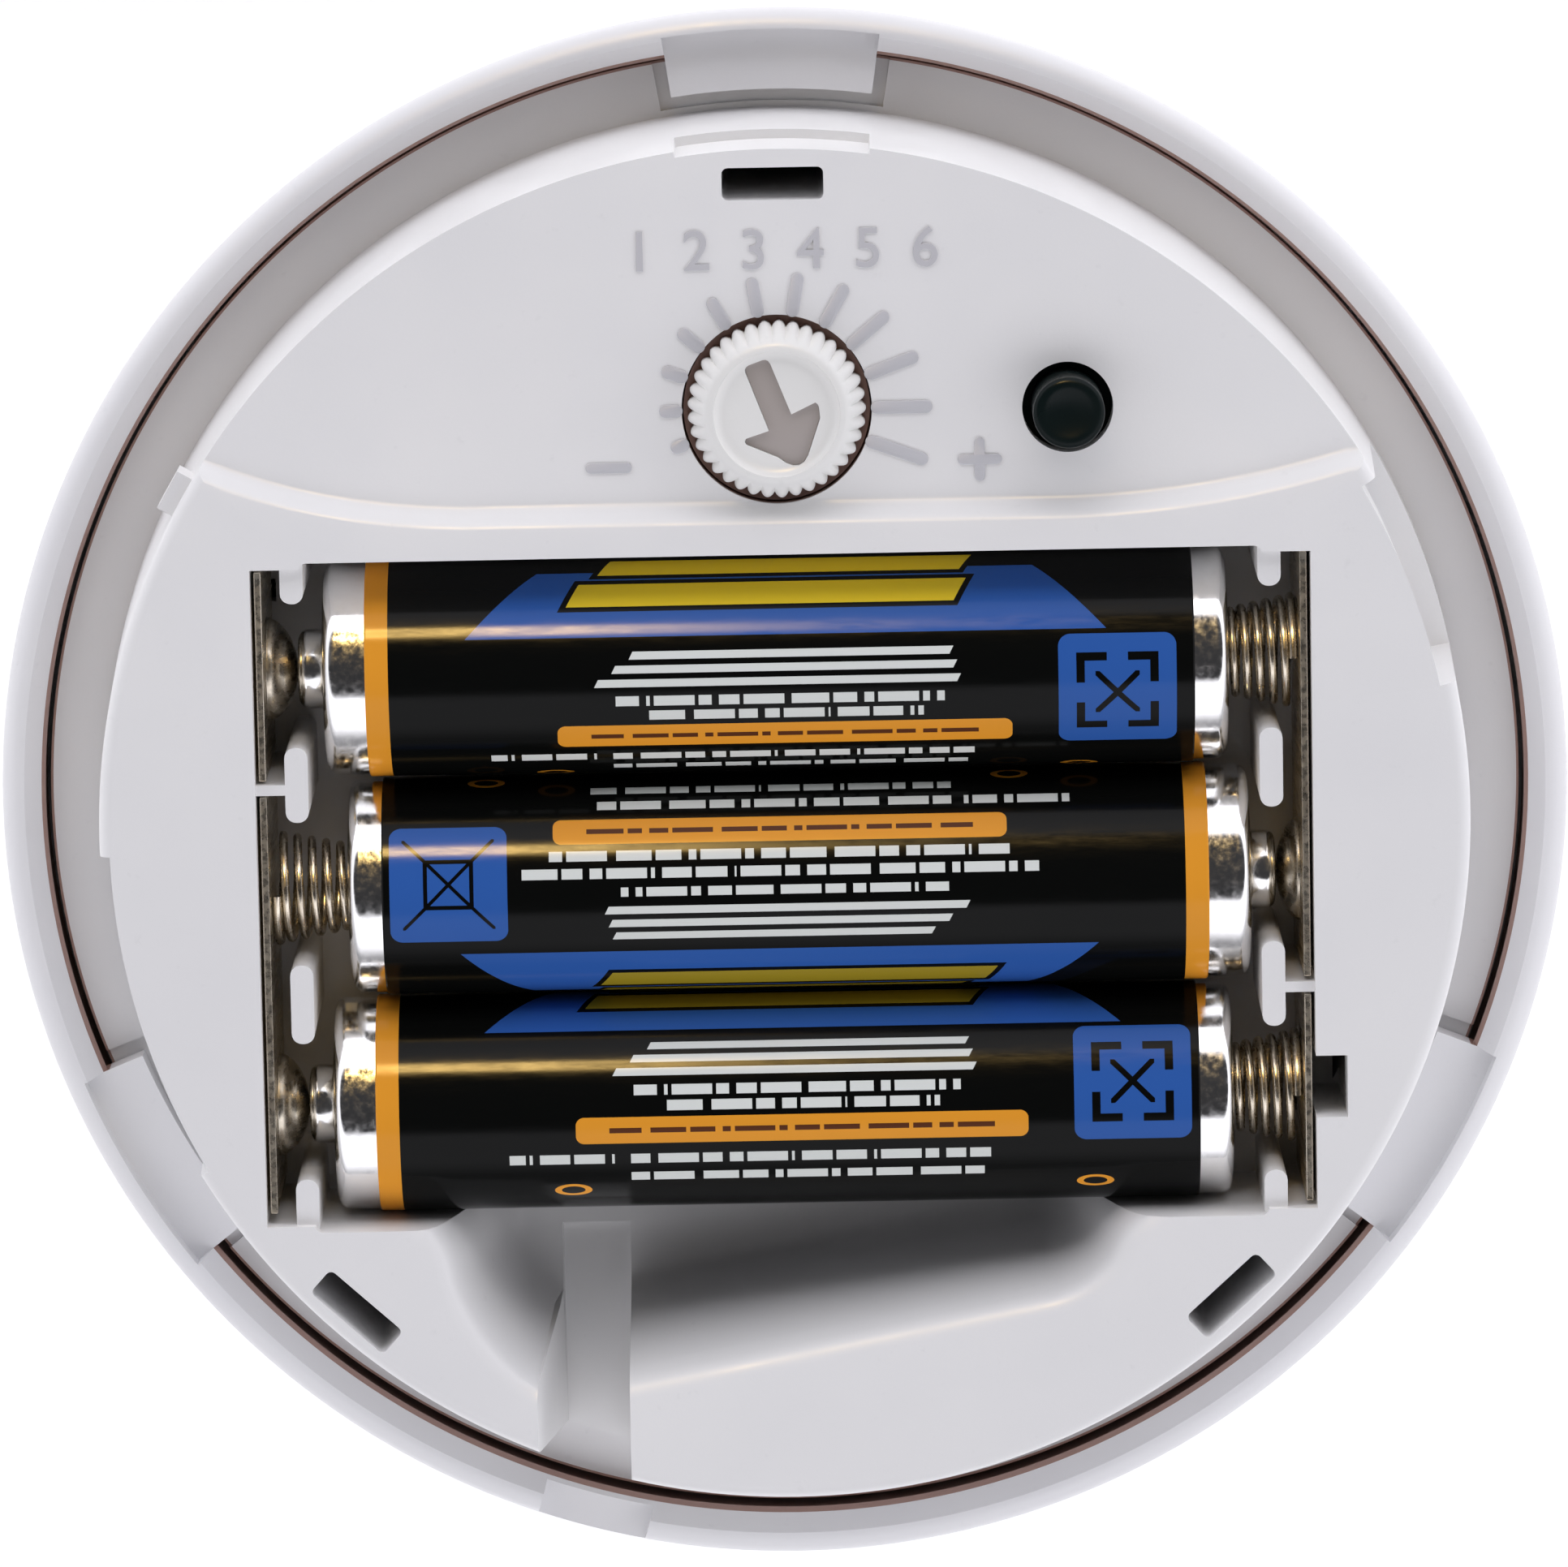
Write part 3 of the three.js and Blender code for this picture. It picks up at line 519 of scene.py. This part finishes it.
def camera():
    """Far camera, a little towards +Y from straight above the ceiling side, rolled by about a degree."""
    tilt, roll, distance = math.radians(9.3), math.radians(1.1), 500.0
    right = Vector((math.cos(roll), -math.sin(roll), 0))
    lean = Vector((math.sin(roll), math.cos(roll), 0))
    back = (lean * math.sin(tilt) + Vector((0, 0, math.cos(tilt)))).normalized()
    up = back.cross(right)
    nudge = up * 0.38 - right * 0.04
    aim = Vector((0, 0, CREST_Z)) + nudge
    data = bpy.data.cameras.new("camera")
    data.sensor_width = 36.0
    data.lens = 236.4
    data.clip_start, data.clip_end = 0.01, 10
    obj = bpy.data.objects.new("camera", data)
    rotation = Matrix((right, up, back)).transposed().to_4x4()
    obj.matrix_world = Matrix.Translation((aim + back * distance) * MM) @ rotation
    SCENE.collection.objects.link(obj)
    SCENE.camera = obj


def streak_light(place_mm, aim_mm, size_mm, power, color):
    """Narrow lamp with no diffuse light: it gives the golden streak along the cells and a few small glints."""
    data = bpy.data.lights.new("streak", "AREA")
    data.shape, data.size, data.size_y = "RECTANGLE", size_mm[0] * MM, size_mm[1] * MM
    data.energy, data.color = power, color
    obj = bpy.data.objects.new("streak", data)
    obj.location = Vector(place_mm) * MM
    obj.rotation_euler = (Vector(aim_mm) - Vector(place_mm)).to_track_quat("-Z", "Y").to_euler()
    obj.visible_diffuse = False
    SCENE.collection.objects.link(obj)


def smooth_ramp(tree, value, low, high, out_low, out_high):
    node = tree.nodes.new("ShaderNodeMapRange")
    node.interpolation_type = "SMOOTHSTEP"
    for i, number in enumerate((low, high, out_low, out_high)):
        node.inputs[i + 1].default_value = number
    tree.links.new(value.socket, node.inputs[0])
    return Value(tree, node.outputs[0])


def dome():
    """Pale studio dome: dark in a long oval overhead, its lower light mostly from +Y."""
    world = bpy.data.worlds.new("studio")
    SCENE.world = world
    world.use_nodes = True
    tree = world.node_tree
    background = tree.nodes["Background"]
    split = tree.nodes.new("ShaderNodeSeparateXYZ")
    tree.links.new(tree.nodes.new("ShaderNodeTexCoord").outputs["Generated"], split.inputs[0])
    x, y, z = (Value(tree, output) for output in split.outputs)
    lean, across, along = math.radians(13), math.radians(37), math.radians(60)
    u, v = x / math.sin(along), (y * math.cos(lean) - z * math.sin(lean)) / math.sin(across)
    oval = smooth_ramp(tree, u * u + v * v, 0.82, 1.18, 0.02, 1.0)
    height = smooth_ramp(tree, z, 0.2, 0.58, 0.0, 1.0)
    upper = height * (x * 0.16 + y * 0.26 + 1.0) * UPPER_STRENGTH
    lower = (height * -1.0 + 1.0) * (x * 0.06 + y * 0.72 + 1.0) * LOWER_STRENGTH
    strength = oval * (upper + lower)
    tree.links.new(strength.socket, background.inputs[1])
    background.inputs[0].default_value = (0.96, 0.95, 1.0, 1)


def stage():
    dome()
    streak_light((-29, 285, 320), (-15, 0, 31), (32, 66), 1.05, (1.0, 0.66, 0.22))
    half, below = 900, -0.02
    corners = [(-half, -half, below), (half, -half, below), (half, half, below), (-half, half, below)]
    floor = mesh_object("floor", corners, [(0, 1, 2, 3)])
    paper = Finish("paper", (0.93, 0.93, 0.93), 0.8)
    paper.shader.inputs["Emission Color"].default_value = (1, 1, 1, 1)
    paper.shader.inputs["Emission Strength"].default_value = 0.32
    paper.bump(paper.noise(2, 4), 0.05, 0.05)
    floor.data.materials.append(paper.material)
    SCENE.view_settings.view_transform = "Standard"


# ---------------------------------------------------------------- front cover
def front_cover():
    corner, foot_r, slope, undercut = 3.8, 36.2, -9.5, 0.35
    outer = [(0, 0), *arc(TIER_R - 2.2, 1.8, 1.8, -90, 0, 8), (TIER_R, TIER_Z - 0.8)]
    outer += arc(TIER_R + 0.8, TIER_Z - 0.8, 0.8, 180, 90, 4)
    outer += arc(foot_r - corner, TIER_Z + corner, corner, -90, slope, 14)
    outer += [(COVER_R, WIDEST_Z - 0.6), *arc(CREST_R + 0.05, WIDEST_Z + 0.15, 0.95, -5, 100, 10)]
    outer += [(CREST_R - 0.42, CREST_Z - 0.42), (LIP_R + 0.12, LIP_Z + 0.1), (LIP_R, LIP_Z - 0.12)]
    inner = [(LIP_R, LIP_Z - 0.3), (LIP_R + undercut, LIP_Z - 0.5), (LIP_R + undercut, SKIRT_Z - 0.4)]
    inner += arc(foot_r - WALL - 3, TIER_Z + WALL + 3, 3, slope, -90, 5)
    inner += [(TIER_R - WALL, TIER_Z + WALL), (TIER_R - WALL, WALL), (0, WALL)]
    shell = lathe("cover_shell", outer + inner, 256)
    joined = [sector(a, LUG_HALF, LUG_R, LUG_OUTER_R, LUG_Z0, LUG_Z1) for a in LUG_ANGLES]
    joined += [post(x, y, 1, 18.5, 3) for x, y in SCREWS]
    joined += [post(*LIGHT, 1, WALL + 2, 2.7)]
    boolean(shell, joined, "UNION")
    cuts = [turn_vent(15 * i + 7.5) for i in range(24)]
    cuts += [sector(a, LUG_HALF, LIP_R - 0.5, LUG_OUTER_R, LUG_Z1, CREST_Z + 1) for a in LUG_ANGLES]
    cuts += [post(x, y, 7, 20, 1.1, 16) for x, y in SCREWS]
    for dy in (-4.5, -1.5, 1.5, 4.5):
        half = 5.5 - abs(dy) / 2
        x, y = SOUNDER[0], SOUNDER[1] + dy
        cuts.append(block(x - half, x + half, y - 0.6, y + 0.6, -1, 3, 0.58))
    cuts.append(turned_block(CABLE_NOTCH_ANGLE, 37.6, 5.4, 4.4, CABLE_NOTCH_Z, 27))
    cuts += [post(*TEST, -1, 3, 5.25, 64), post(*LIGHT, -1, 5, 1.6)]
    boolean(shell, cuts, "DIFFERENCE")
    soften(shell, 0.22)
    return place(shell, "housing", COVER_WHITE, "white_plastic", "front_cover")


def turn_vent(angle):
    """Air slot through the front tier."""
    opening = [(-1.7, 3.2), (1.7, 3.2), (1.7, 7.6), (-1.7, 7.6)]
    obj = prism(opening, 27, 35)
    obj.data.transform(Matrix.Rotation(math.radians(-angle), 4, "Z") @ SWAP_YZ)
    tidy_normals(obj)
    return obj


# ---------------------------------------------------------------- chassis
# Ribs at the bay's ends: side, y from and to, and where a thin bridge joins the rib to the wall
RIBS = (
    (-1, 11.2, BAY_Y1 + 0.5, None),
    (-1, 0.7, 4.3, 2.27),
    (-1, -10.0, -6.2, None),
    (-1, BAY_Y0 - 0.5, -16.6, None),
    (1, 11.2, BAY_Y1 + 0.5, None),
    (1, 0.6, 4.4, None),
    (1, -10.0, -5.9, -8.13),
    (1, BAY_Y0 - 0.5, -17.0, None),
)


def finger_hold():
    """Deep hand hold below the lowest cell, with a sloping wall."""
    p = [(17.4, -16), (-18.4, -16), (-18.4, -18.3)]
    p += bezier((-18.4, -18.3), (-16.4, -19.3), (-16.2, -21.5))
    p += bezier((-16.2, -21.5), (-15.4, -24.6), (-12.4, -26.9))
    p += [(-7.9, -26.7), (12.4, -22.9)]
    p += bezier((12.4, -22.9), (14.9, -22.2), (15.6, -20.4))
    p += bezier((15.6, -20.4), (16.1, -19.3), (17.4, -18.8))
    depth = PLATFORM - BAY_FLOOR
    slope = [(2.5 * (1 - t), BAY_FLOOR + depth * t) for t in (0.12, 0.5, 0.84)]
    wall = [(3.3, BAY_FLOOR), (2.7, BAY_FLOOR + 0.35), *slope]
    wall += [(0.13, PLATFORM - 0.85), (-0.12, PLATFORM - 0.35), (-0.45, PLATFORM - 0.08), (-0.85, PLATFORM)]
    return cutter(p, wall)


def dial_area():
    y = 14.8
    p = [(40, 42), (-40, 42), (-40, y + 2.6), (-27.5, y + 2.4)]
    p += bezier((-27.5, y + 2.4), (-22, y), (-15, y - 0.2))
    p += [(14, y - 0.2)]
    p += bezier((14, y - 0.2), (21, y), (27, y + 1.8))
    p += [(40, y + 2.2)]
    steps, inset, depth = 10, 1.1, PLATFORM - DIAL_FLOOR
    ramp = []
    for i in range(steps + 1):
        rise = (1 - math.cos(math.pi * i / steps)) / 2
        ramp.append((inset * (1 - i / steps), DIAL_FLOOR + depth * rise))
    return cutter(p, ramp)


def cable_channel():
    floor, top, right = BAY_FLOOR - 0.6, PLATFORM + 1, -7.95
    outline = [(-11.2, floor), (right, floor), (right, top), (-12.5, top)]
    obj = loft("tool", [(outline, -38), (outline, -21)])
    obj.data.transform(SWAP_YZ)
    tidy_normals(obj)
    return obj


def chassis():
    profile = [(0, SKIRT_Z), (FLANGE_R, SKIRT_Z), (FLANGE_R, FLANGE_Z), (DRUM_FOOT_R, FLANGE_Z)]
    profile += [*arc(DRUM_R - DRUM_EDGE, PLATFORM - DRUM_EDGE, DRUM_EDGE, 2, 90, 6), (0, PLATFORM)]
    body = lathe("chassis_body", profile, 256)
    bay_x = POCKET_X + 1.2
    inside = post(0, 0, SKIRT_Z, CAVITY_Z + 1, 30.4, 128)
    bay_block = block(-bay_x, bay_x, -31, BAY_Y1 + 1.4, BAY_UNDER, CAVITY_Z + 0.5)
    boolean(bay_block, [inside], "INTERSECT")
    boolean(body, [post(0, 0, SKIRT_Z - 1, CAVITY_Z, 29.9, 128)], "DIFFERENCE")
    bosses = [post(x, y, 20.3, BAY_UNDER + 0.5, 3.2) for x, y in SCREWS]
    boolean(body, [bay_block, post(0, DIAL_Y, CAVITY_Z - 0.6, CAVITY_Z + 0.5, 6.1), *bosses], "UNION")
    pocket_y = (BAY_Y0 + 0.3, BAY_Y1 - 0.3)
    bay = [block(-BAY_X, BAY_X, BAY_Y0, BAY_Y1, BAY_FLOOR, PLATFORM + 1, 0.4)]
    bay += [block(-POCKET_X, POCKET_X, *pocket_y, BAY_FLOOR, PLATFORM + 1)]
    boolean(body, [*bay, finger_hold(), cable_channel(), dial_area()], "DIFFERENCE")
    ribs = []
    for side, y0, y1, bridge in RIBS:
        x0, x1 = sorted((side * 23.7, side * 22.6))
        ribs.append(block(x0, x1, y0, y1, BAY_FLOOR - 0.5, PLATFORM - 0.5, 0.5))
        if bridge is not None:
            x0, x1 = sorted((side * 23.2, side * (POCKET_X + 0.5)))
            ribs.append(block(x0, x1, bridge - 0.25, bridge + 0.25, BAY_FLOOR - 0.5, PLATFORM - 0.5))
    boolean(body, [*ribs, turned_block(300, 32.6, 2, 1.6, PLATFORM - 3.4, PLATFORM - 1.1)], "UNION")
    cuts = [sector(a, LUG_HALF + NOTCH_EXTRA, NOTCH_R, 36.5, NOTCH_Z, FLANGE_Z + 0.5) for a in LUG_ANGLES]
    cuts += [turned_block(0, UPPER_HOOK_R, 4.8, 1.55, SKIRT_Z - 1, PLATFORM + 1, 0.3)]
    for angle in (LOWER_HOOK_ANGLE, -LOWER_HOOK_ANGLE):
        cuts.append(turned_block(angle, LOWER_HOOK_R, 4.6, 1.5, PLATFORM - 9, PLATFORM + 1, 0.3))
    cuts += [sector(69.25, 9.25, 31.8, 34, FLANGE_Z + 2, PLATFORM + 1)]
    cuts += [sector(254.35, 14.35, 32.1, 34, FLANGE_Z + 2, PLATFORM + 1)]
    cuts += [sector(0, LUG_HALF, 32.35, 34, PLATFORM - 6, PLATFORM + 1)]
    cuts += [block(POCKET_X - 0.4, 26.6, -14.4, -11.4, BAY_FLOOR + 2, PLATFORM + 1)]
    cuts += [block(-PLATE_X - 0.5, -PLATE_X + 0.2, 9.9, 11, BAY_UNDER - 1, BAY_FLOOR + 1)]
    cuts += [block(PLATE_X - 0.2, PLATE_X + 0.5, -16.1, -14.9, BAY_UNDER - 1, BAY_FLOOR + 1)]
    for x, y in SCREWS:
        cuts += [post(x, y, 23.6, BAY_FLOOR + 1, 2.4, 32), post(x, y, 19, 24, 1.4, 16)]
    cuts.append(post(0, DIAL_Y, CAVITY_Z - 2, PLATFORM + 1, WELL_R, 96))
    cuts.append(post(*TAMPER, CAVITY_Z - 2, PLATFORM + 1, 2.15, 64))
    boolean(body, cuts, "DIFFERENCE")
    soften(body, 0.28)
    return place(body, "housing", WHITE, "white_plastic", "chassis")


# ---------------------------------------------------------------- dial marks
def stroke(name, a, b, width, z0, z1):
    """Round-ended bar between two points."""
    a, b = Vector(a), Vector(b)
    turn = math.degrees(math.atan2(b.y - a.y, b.x - a.x))
    outline = arc(*b, width / 2, turn - 90, turn + 90, 8) + arc(*a, width / 2, turn + 90, turn + 270, 8)
    return soften(prism(outline, z0, z1, name), 0.04, 2)


def dial_marks():
    z0, z1 = DIAL_FLOOR - 0.05, DIAL_FLOOR + 0.09
    pieces = []
    ticks = 12
    for i in range(ticks):
        angle = -110 + 20 * i
        outer = 5.05 + 2.2 * i / (ticks - 1)
        start, end = (Vector(polar(angle, r)) + Vector((0, DIAL_Y)) for r in (4.75, outer))
        pieces.append(stroke(f"tick_{i + 1}", start, end, 0.62, z0, z1))
    pieces.append(stroke("mark_minus", (-8.85, 17.35), (-7.15, 17.35), 0.5, z0, z1))
    plus = stroke("mark_plus", (8.75, 17.45), (10.35, 17.45), 0.5, z0, z1)
    boolean(plus, [stroke("tool", (9.55, 16.65), (9.55, 18.25), 0.5, z0 - 0.001, z1 - 0.001)], "UNION")
    pieces.append(plus)
    # The grey of these raised strokes is painted shade: it stands for the shade inside engraved marks
    for obj in pieces:
        smooth(obj)
        place(obj, "housing", MARK_GREY, "white_plastic")


def dial_numbers():
    """A plain row of numbers above the dial."""
    data = bpy.data.curves.new("dial_numbers", "FONT")
    data.body = "1 2 3 4 5 6"
    data.size, data.align_x, data.align_y = 2.7 * MM, "CENTER", "CENTER"
    data.space_character = 1.22
    data.extrude = 0.05 * MM
    data.bevel_depth = 0.02 * MM
    text = bpy.data.objects.new("dial_numbers_text", data)
    SCENE.collection.objects.link(text)
    text.location = Vector((0.4, 27.5, DIAL_FLOOR + 0.02)) * MM
    bpy.context.view_layer.update()
    mesh = bpy.data.meshes.new_from_object(text.evaluated_get(bpy.context.evaluated_depsgraph_get()))
    mesh.transform(text.matrix_world)
    bpy.data.objects.remove(text)
    obj = bpy.data.objects.new("dial_numbers", mesh)
    SCENE.collection.objects.link(obj)
    place(obj, "housing", MARK_GREY, "white_plastic")


# ---------------------------------------------------------------- dial and buttons
def knob():
    """Dial whose teeth lean in towards the top, with a dished face and a sunken arrow."""
    r, top_r, teeth, per_tooth = 4.22, 3.5, 37, 8
    count = teeth * per_tooth
    turns = [2 * math.pi * i / count for i in range(count)]
    rows = []
    for t in (-1.0, 0.0, 0.25, 0.5, 0.75, 0.92):
        lean = r - (r - top_r) * max(t, 0) ** 1.3
        depth = 0.30 * (1 - max(t, 0)) ** 0.6
        ring = [(lean - depth * (1 - abs(math.cos(a * teeth / 2)) ** 0.8), a) for a in turns]
        z = DIAL_FLOOR + (DIAL_TOP - 0.15 - DIAL_FLOOR) * t
        rows.append(([(radius * math.cos(a), radius * math.sin(a)) for radius, a in ring], z))
    for radius, z in ((top_r - 0.12, DIAL_TOP - 0.07), (top_r - 0.3, DIAL_TOP), (1.0, DIAL_TOP)):
        rows.append((circle(radius, count), z))
    body = loft("knob_body", rows)
    stem = [post(0, 0, 31.6, 32.9, 5.1, 64), post(0, 0, 32.8, 33.5, 3.75), post(0, 0, 27.4, 31.7, 1.6, 32)]
    stem.append(post(0, 0, 33.6, DIAL_FLOOR - 0.75, 4.42, 96))
    boolean(body, stem, "UNION")
    dish = [(0, -0.36), (2.5, -0.36), (2.72, -0.32), (2.88, -0.2), (2.98, -0.05), (3.06, 0.4), (0, 0.4)]
    disc = lathe("tool", [(radius, DIAL_TOP + z) for radius, z in dish], 96)
    head = bezier((-0.9, 2.05), (0, 3.35), (0.75, 1.95), 6) + bezier((1.75, 1.0), (2.05, 0.7), (1.8, 0.55), 3)
    outline = [*head, (0.66, 0.62), (0.62, -2.35), *bezier((0.62, -2.35), (0.6, -2.6), (0.35, -2.62), 3)]
    outline += [(-0.35, -2.6), *bezier((-0.35, -2.6), (-0.6, -2.58), (-0.62, -2.3), 3), (-0.62, 0.3)]
    outline += bezier((-1.75, 0.15), (-2.0, 0.2), (-1.95, 0.5), 3) + [(-1.8, 1.0)]
    outline = outline[::-1]
    arrow = prism(outline, DIAL_TOP - 1.3, DIAL_TOP + 1)
    arrow.data.transform(Matrix.Rotation(math.radians(-POINTER), 4, "Z"))
    boolean(body, [disc, arrow], "DIFFERENCE")
    to_well = Matrix.Translation(Vector((0, DIAL_Y, 0)) * MM)
    body.data.transform(to_well)
    soften(body, 0.05, 2, 50)
    place(body, "dial", DIAL_WHITE, "dial_plastic", "sensitivity_knob")
    inlay = prism(inset_outline(outline, 0.02), DIAL_TOP - 1.1, DIAL_TOP - 0.6, "knob_arrow")
    inlay.data.transform(to_well @ Matrix.Rotation(math.radians(-POINTER), 4, "Z"))
    place(inlay, "dial", ARROW_GREY, "dial_plastic")


def plunger():
    profile = [(0, 26.1), (1.7, 26.1), (1.7, 32.6), (2.7, 32.6), (2.7, 33.6), (1.7, 33.6), (1.7, 37.45)]
    profile += [*arc(1.4, 37.55, 0.3, 0, 90, 5), (1.15, 37.86), (1.05, 37.8), (0, 37.8)]
    obj = lathe("plunger_body", profile, 64)
    obj.data.transform(Matrix.Translation(Vector((*TAMPER, 0)) * MM))
    smooth(obj, 40)
    return place(obj, "tamper_plunger", BUTTON, "button_plastic", "tamper_button")


def test_button():
    rim = 5.0
    profile = [(0, 0.75), (1.6, 0.72), (3.4, 0.5), (rim - 0.75, 0.33)]
    profile += [*arc(rim - 0.5, 0.8, 0.5, -90, 0, 6), (rim, 2.3)]
    profile += [(6, 2.3), (6, 3.3), (1.6, 3.3), (1.6, 14.5), (0, 14.5)]
    obj = lathe("test_button_cap", profile, 96)
    obj.data.transform(Matrix.Translation(Vector((*TEST, 0)) * MM))
    smooth(obj, 40)
    return place(obj, "test_plunger", BUTTON_WHITE, "white_plastic", "test_button")


# ---------------------------------------------------------------- cells and contacts
def along_x(obj, x, y, z, flip):
    """Lays a piece turned about Z along X; flip turns it round."""
    turn = Matrix.Rotation(math.radians(90), 4, "Y")
    if flip < 0:
        turn = Matrix.Rotation(math.pi, 4, "Z") @ turn
    obj.data.transform(Matrix.Translation(Vector((x, y, z)) * MM) @ turn)
    tidy_normals(obj)


def cell(name, y, shift, plus, jacket):
    half, can_r = CELL_LEN / 2, 5.12
    profile = [(0, -half + 0.25), (2.6, -half + 0.25), (2.9, -half), (can_r - 0.75, -half)]
    profile += arc(can_r - 0.55, -half + 0.55, 0.55, -90, 0, 6)
    profile += arc(can_r - 0.6, half - 0.6, 0.6, 0, 90, 8)
    profile += [(can_r - 1.2, half), (can_r - 1.45, half - 0.22), (2.45, half - 0.22), (2.1, half - 0.05)]
    profile += [(1.9, half + 0.2), *arc(1.45, half + CELL_NUB - 0.45, 0.45, 0, 90, 6), (0, half + CELL_NUB)]
    can = lathe(f"cell_{name}_can", profile, 96)
    along_x(can, shift, y, CELL_Z, plus)
    smooth(can, 50)
    place(can, f"cell_{name}", CAN, "cell_metal", f"battery_{name}_can")
    low, high = -half + 1.65, half - 2.05
    film = [(5.15, low), (5.18, low - 0.02), (CELL_R, low + 0.05)]
    film += [(CELL_R, high - 0.05), (5.18, high + 0.02), (5.15, high)]
    sleeve = lathe(f"cell_{name}_jacket", film, 128, closed=True)
    along_x(sleeve, shift, y, CELL_Z, plus)
    smooth(sleeve, 15)
    place(sleeve, f"cell_{name}", jacket, "cell_jacket", f"battery_{name}_sleeve")


def contact(name, side, y0, y1, domes, tail=None):
    """Pressed plate; a dome meets each positive end."""
    thick = PLATE_T
    plate = block(PLATE_X, PLATE_X + thick, y0, y1, PLATE_Z0, PLATE_Z1, 0.0, name)
    parts = []
    for y, height in domes:
        steps = 10
        profile = [(0, -0.05), (2.5, -0.05)]
        for i in range(1, steps + 1):
            t = i / steps
            radius = 2.5 * math.cos(t * math.pi / 2) ** 0.9 if t < 1 else 0
            profile.append((radius, height * math.sin(t * math.pi / 2) ** 1.3))
        dome = lathe("tool", profile, 48)
        onto_plate = Matrix.Translation(Vector((PLATE_X, y, CELL_Z)) * MM)
        dome.data.transform(onto_plate @ Matrix.Rotation(math.radians(-90), 4, "Y"))
        tidy_normals(dome)
        parts.append(dome)
    if tail is not None:
        parts.append(block(PLATE_X, PLATE_X + thick, tail, tail + 0.8, 20.3, PLATE_Z0 + 0.5))
    if parts:
        boolean(plate, parts, "UNION")
    if side < 0:
        plate.data.transform(Matrix.Scale(-1, 4, (1, 0, 0)))
        tidy_normals(plate)
    soften(plate, 0.07, 2, 50)
    return place(plate, "housing", CONTACT, "nickel_contact", name)


def coil(name, start, end, r0, r1, turns, wire, axis, closed_turns=0.8, steps=40, sides=10):
    """Wire wound round the X or Z axis, its first and last turns lying flat."""
    count = int(turns * steps)
    verts, faces = [], []
    span = end - start
    for i in range(count + 1):
        t = i / count
        a = 2 * math.pi * turns * t
        flat = closed_turns / turns
        along = min(max((t - flat / 2) / (1 - flat), 0), 1)
        along = 0.06 * t + 0.94 * along
        r = r0 + (r1 - r0) * t
        centre = Vector((r * math.cos(a), r * math.sin(a), start + span * along))
        outwards = Vector((math.cos(a), math.sin(a), 0))
        for k in range(sides):
            b = 2 * math.pi * k / sides
            verts.append(tuple(centre + outwards * (wire * math.cos(b)) + Vector((0, 0, wire * math.sin(b)))))
    for i in range(count):
        for k in range(sides):
            j = (k + 1) % sides
            faces.append((i * sides + k, i * sides + j, (i + 1) * sides + j, (i + 1) * sides + k))
    faces += [tuple(range(sides)), tuple(range(count * sides, (count + 1) * sides))]
    obj = mesh_object(name, verts, faces)
    if axis == "X":
        obj.data.transform(Matrix.Rotation(math.radians(90), 4, "Y"))
    smooth(obj, 60)
    return obj


def springs():
    wire = 0.21
    for name, (y, shift, plus) in CELLS.items():
        cell_end = CELL_LEN / 2 - shift * plus
        obj = coil(f"spring_{name}", cell_end + 0.05 + wire, PLATE_X - 0.05 - wire, 1.9, 2.6, 5.5, wire, "X")
        if plus > 0:
            obj.data.transform(Matrix.Rotation(math.pi, 4, "Z"))
        obj.data.transform(Matrix.Translation(Vector((0, y, CELL_Z)) * MM))
        place(obj, "housing", SPRING, "nickel_contact", f"contact_spring_{name}")
    seat, thin = 23.9, 0.17
    small = coil("plunger_spring", seat, 25.8, 1.3, 1.3, 3.5, thin, "Z")
    small.data.transform(Matrix.Translation(Vector((*TAMPER, 0)) * MM))
    place(small, "housing", STEEL, "nickel_contact", "tamper_spring")
    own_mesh(small)


def dome_height(name):
    _, shift, plus = CELLS[name]
    return PLATE_X - (CELL_LEN / 2 + CELL_NUB + shift * plus) - 0.06


# ---------------------------------------------------------------- what stays as the CAD made it
def finish_cad_nodes():
    finishes = (
        (BOARD, "pcb"),
        (BLACK, "trimmer_body", "tamper_switch", "test_switch", "microcontroller"),
        (BLACK, "chamber_base", "chamber_labyrinth", "sounder_housing"),
        (BUTTON, "photodiode", "capacitor"),
        (STEEL, "insect_screen", "case_screw_1", "case_screw_2", "case_screw_3"),
        (CLEAR, "infrared_emitter", "light_pipe"),
        (BRASS, "sounder_disc"),
        (RED, "alarm_led"),
    )
    for material, *nodes in finishes:
        for node in nodes:
            obj = NODES[node]
            obj.data.materials.clear()
            obj.data.materials.append(material)


# ---------------------------------------------------------------- the model
camera()
stage()
front_cover()
chassis()
dial_marks()
dial_numbers()
knob()
plunger()
test_button()

# The middle and bottom cells carry their yellow emblem darkened to olive, as painted shade between the cells
JACKETS = {
    "top": dict(turn=0.0, slide=0.4, inverted=False, emblem=PRINT_YELLOW),
    "middle": dict(turn=0.75, slide=0.9, inverted=True, emblem=PRINT_YELLOW_IN_SHADE),
    "bottom": dict(turn=2.45, slide=0.85, inverted=False, emblem=PRINT_YELLOW_IN_SHADE),
}
for cell_name, (cell_y, cell_shift, cell_plus) in CELLS.items():
    film = cell_jacket(f"jacket_{cell_name}", cell_y, cell_shift, -cell_plus, **JACKETS[cell_name])
    cell(cell_name, cell_y, cell_shift, cell_plus, film)

contact("contact_left_single", -1, 2.65, 12.7, [(CELLS["top"][0], dome_height("top"))], 10)
contact("contact_left_double", -1, -18.3, 1.9, [(CELLS["bottom"][0], dome_height("bottom"))])
contact("contact_right_double", 1, -7.7, 12.8, [(CELLS["middle"][0], dome_height("middle"))])
contact("contact_right_single", 1, -18.6, -8.55, [], -15.9)
springs()
finish_cad_nodes()
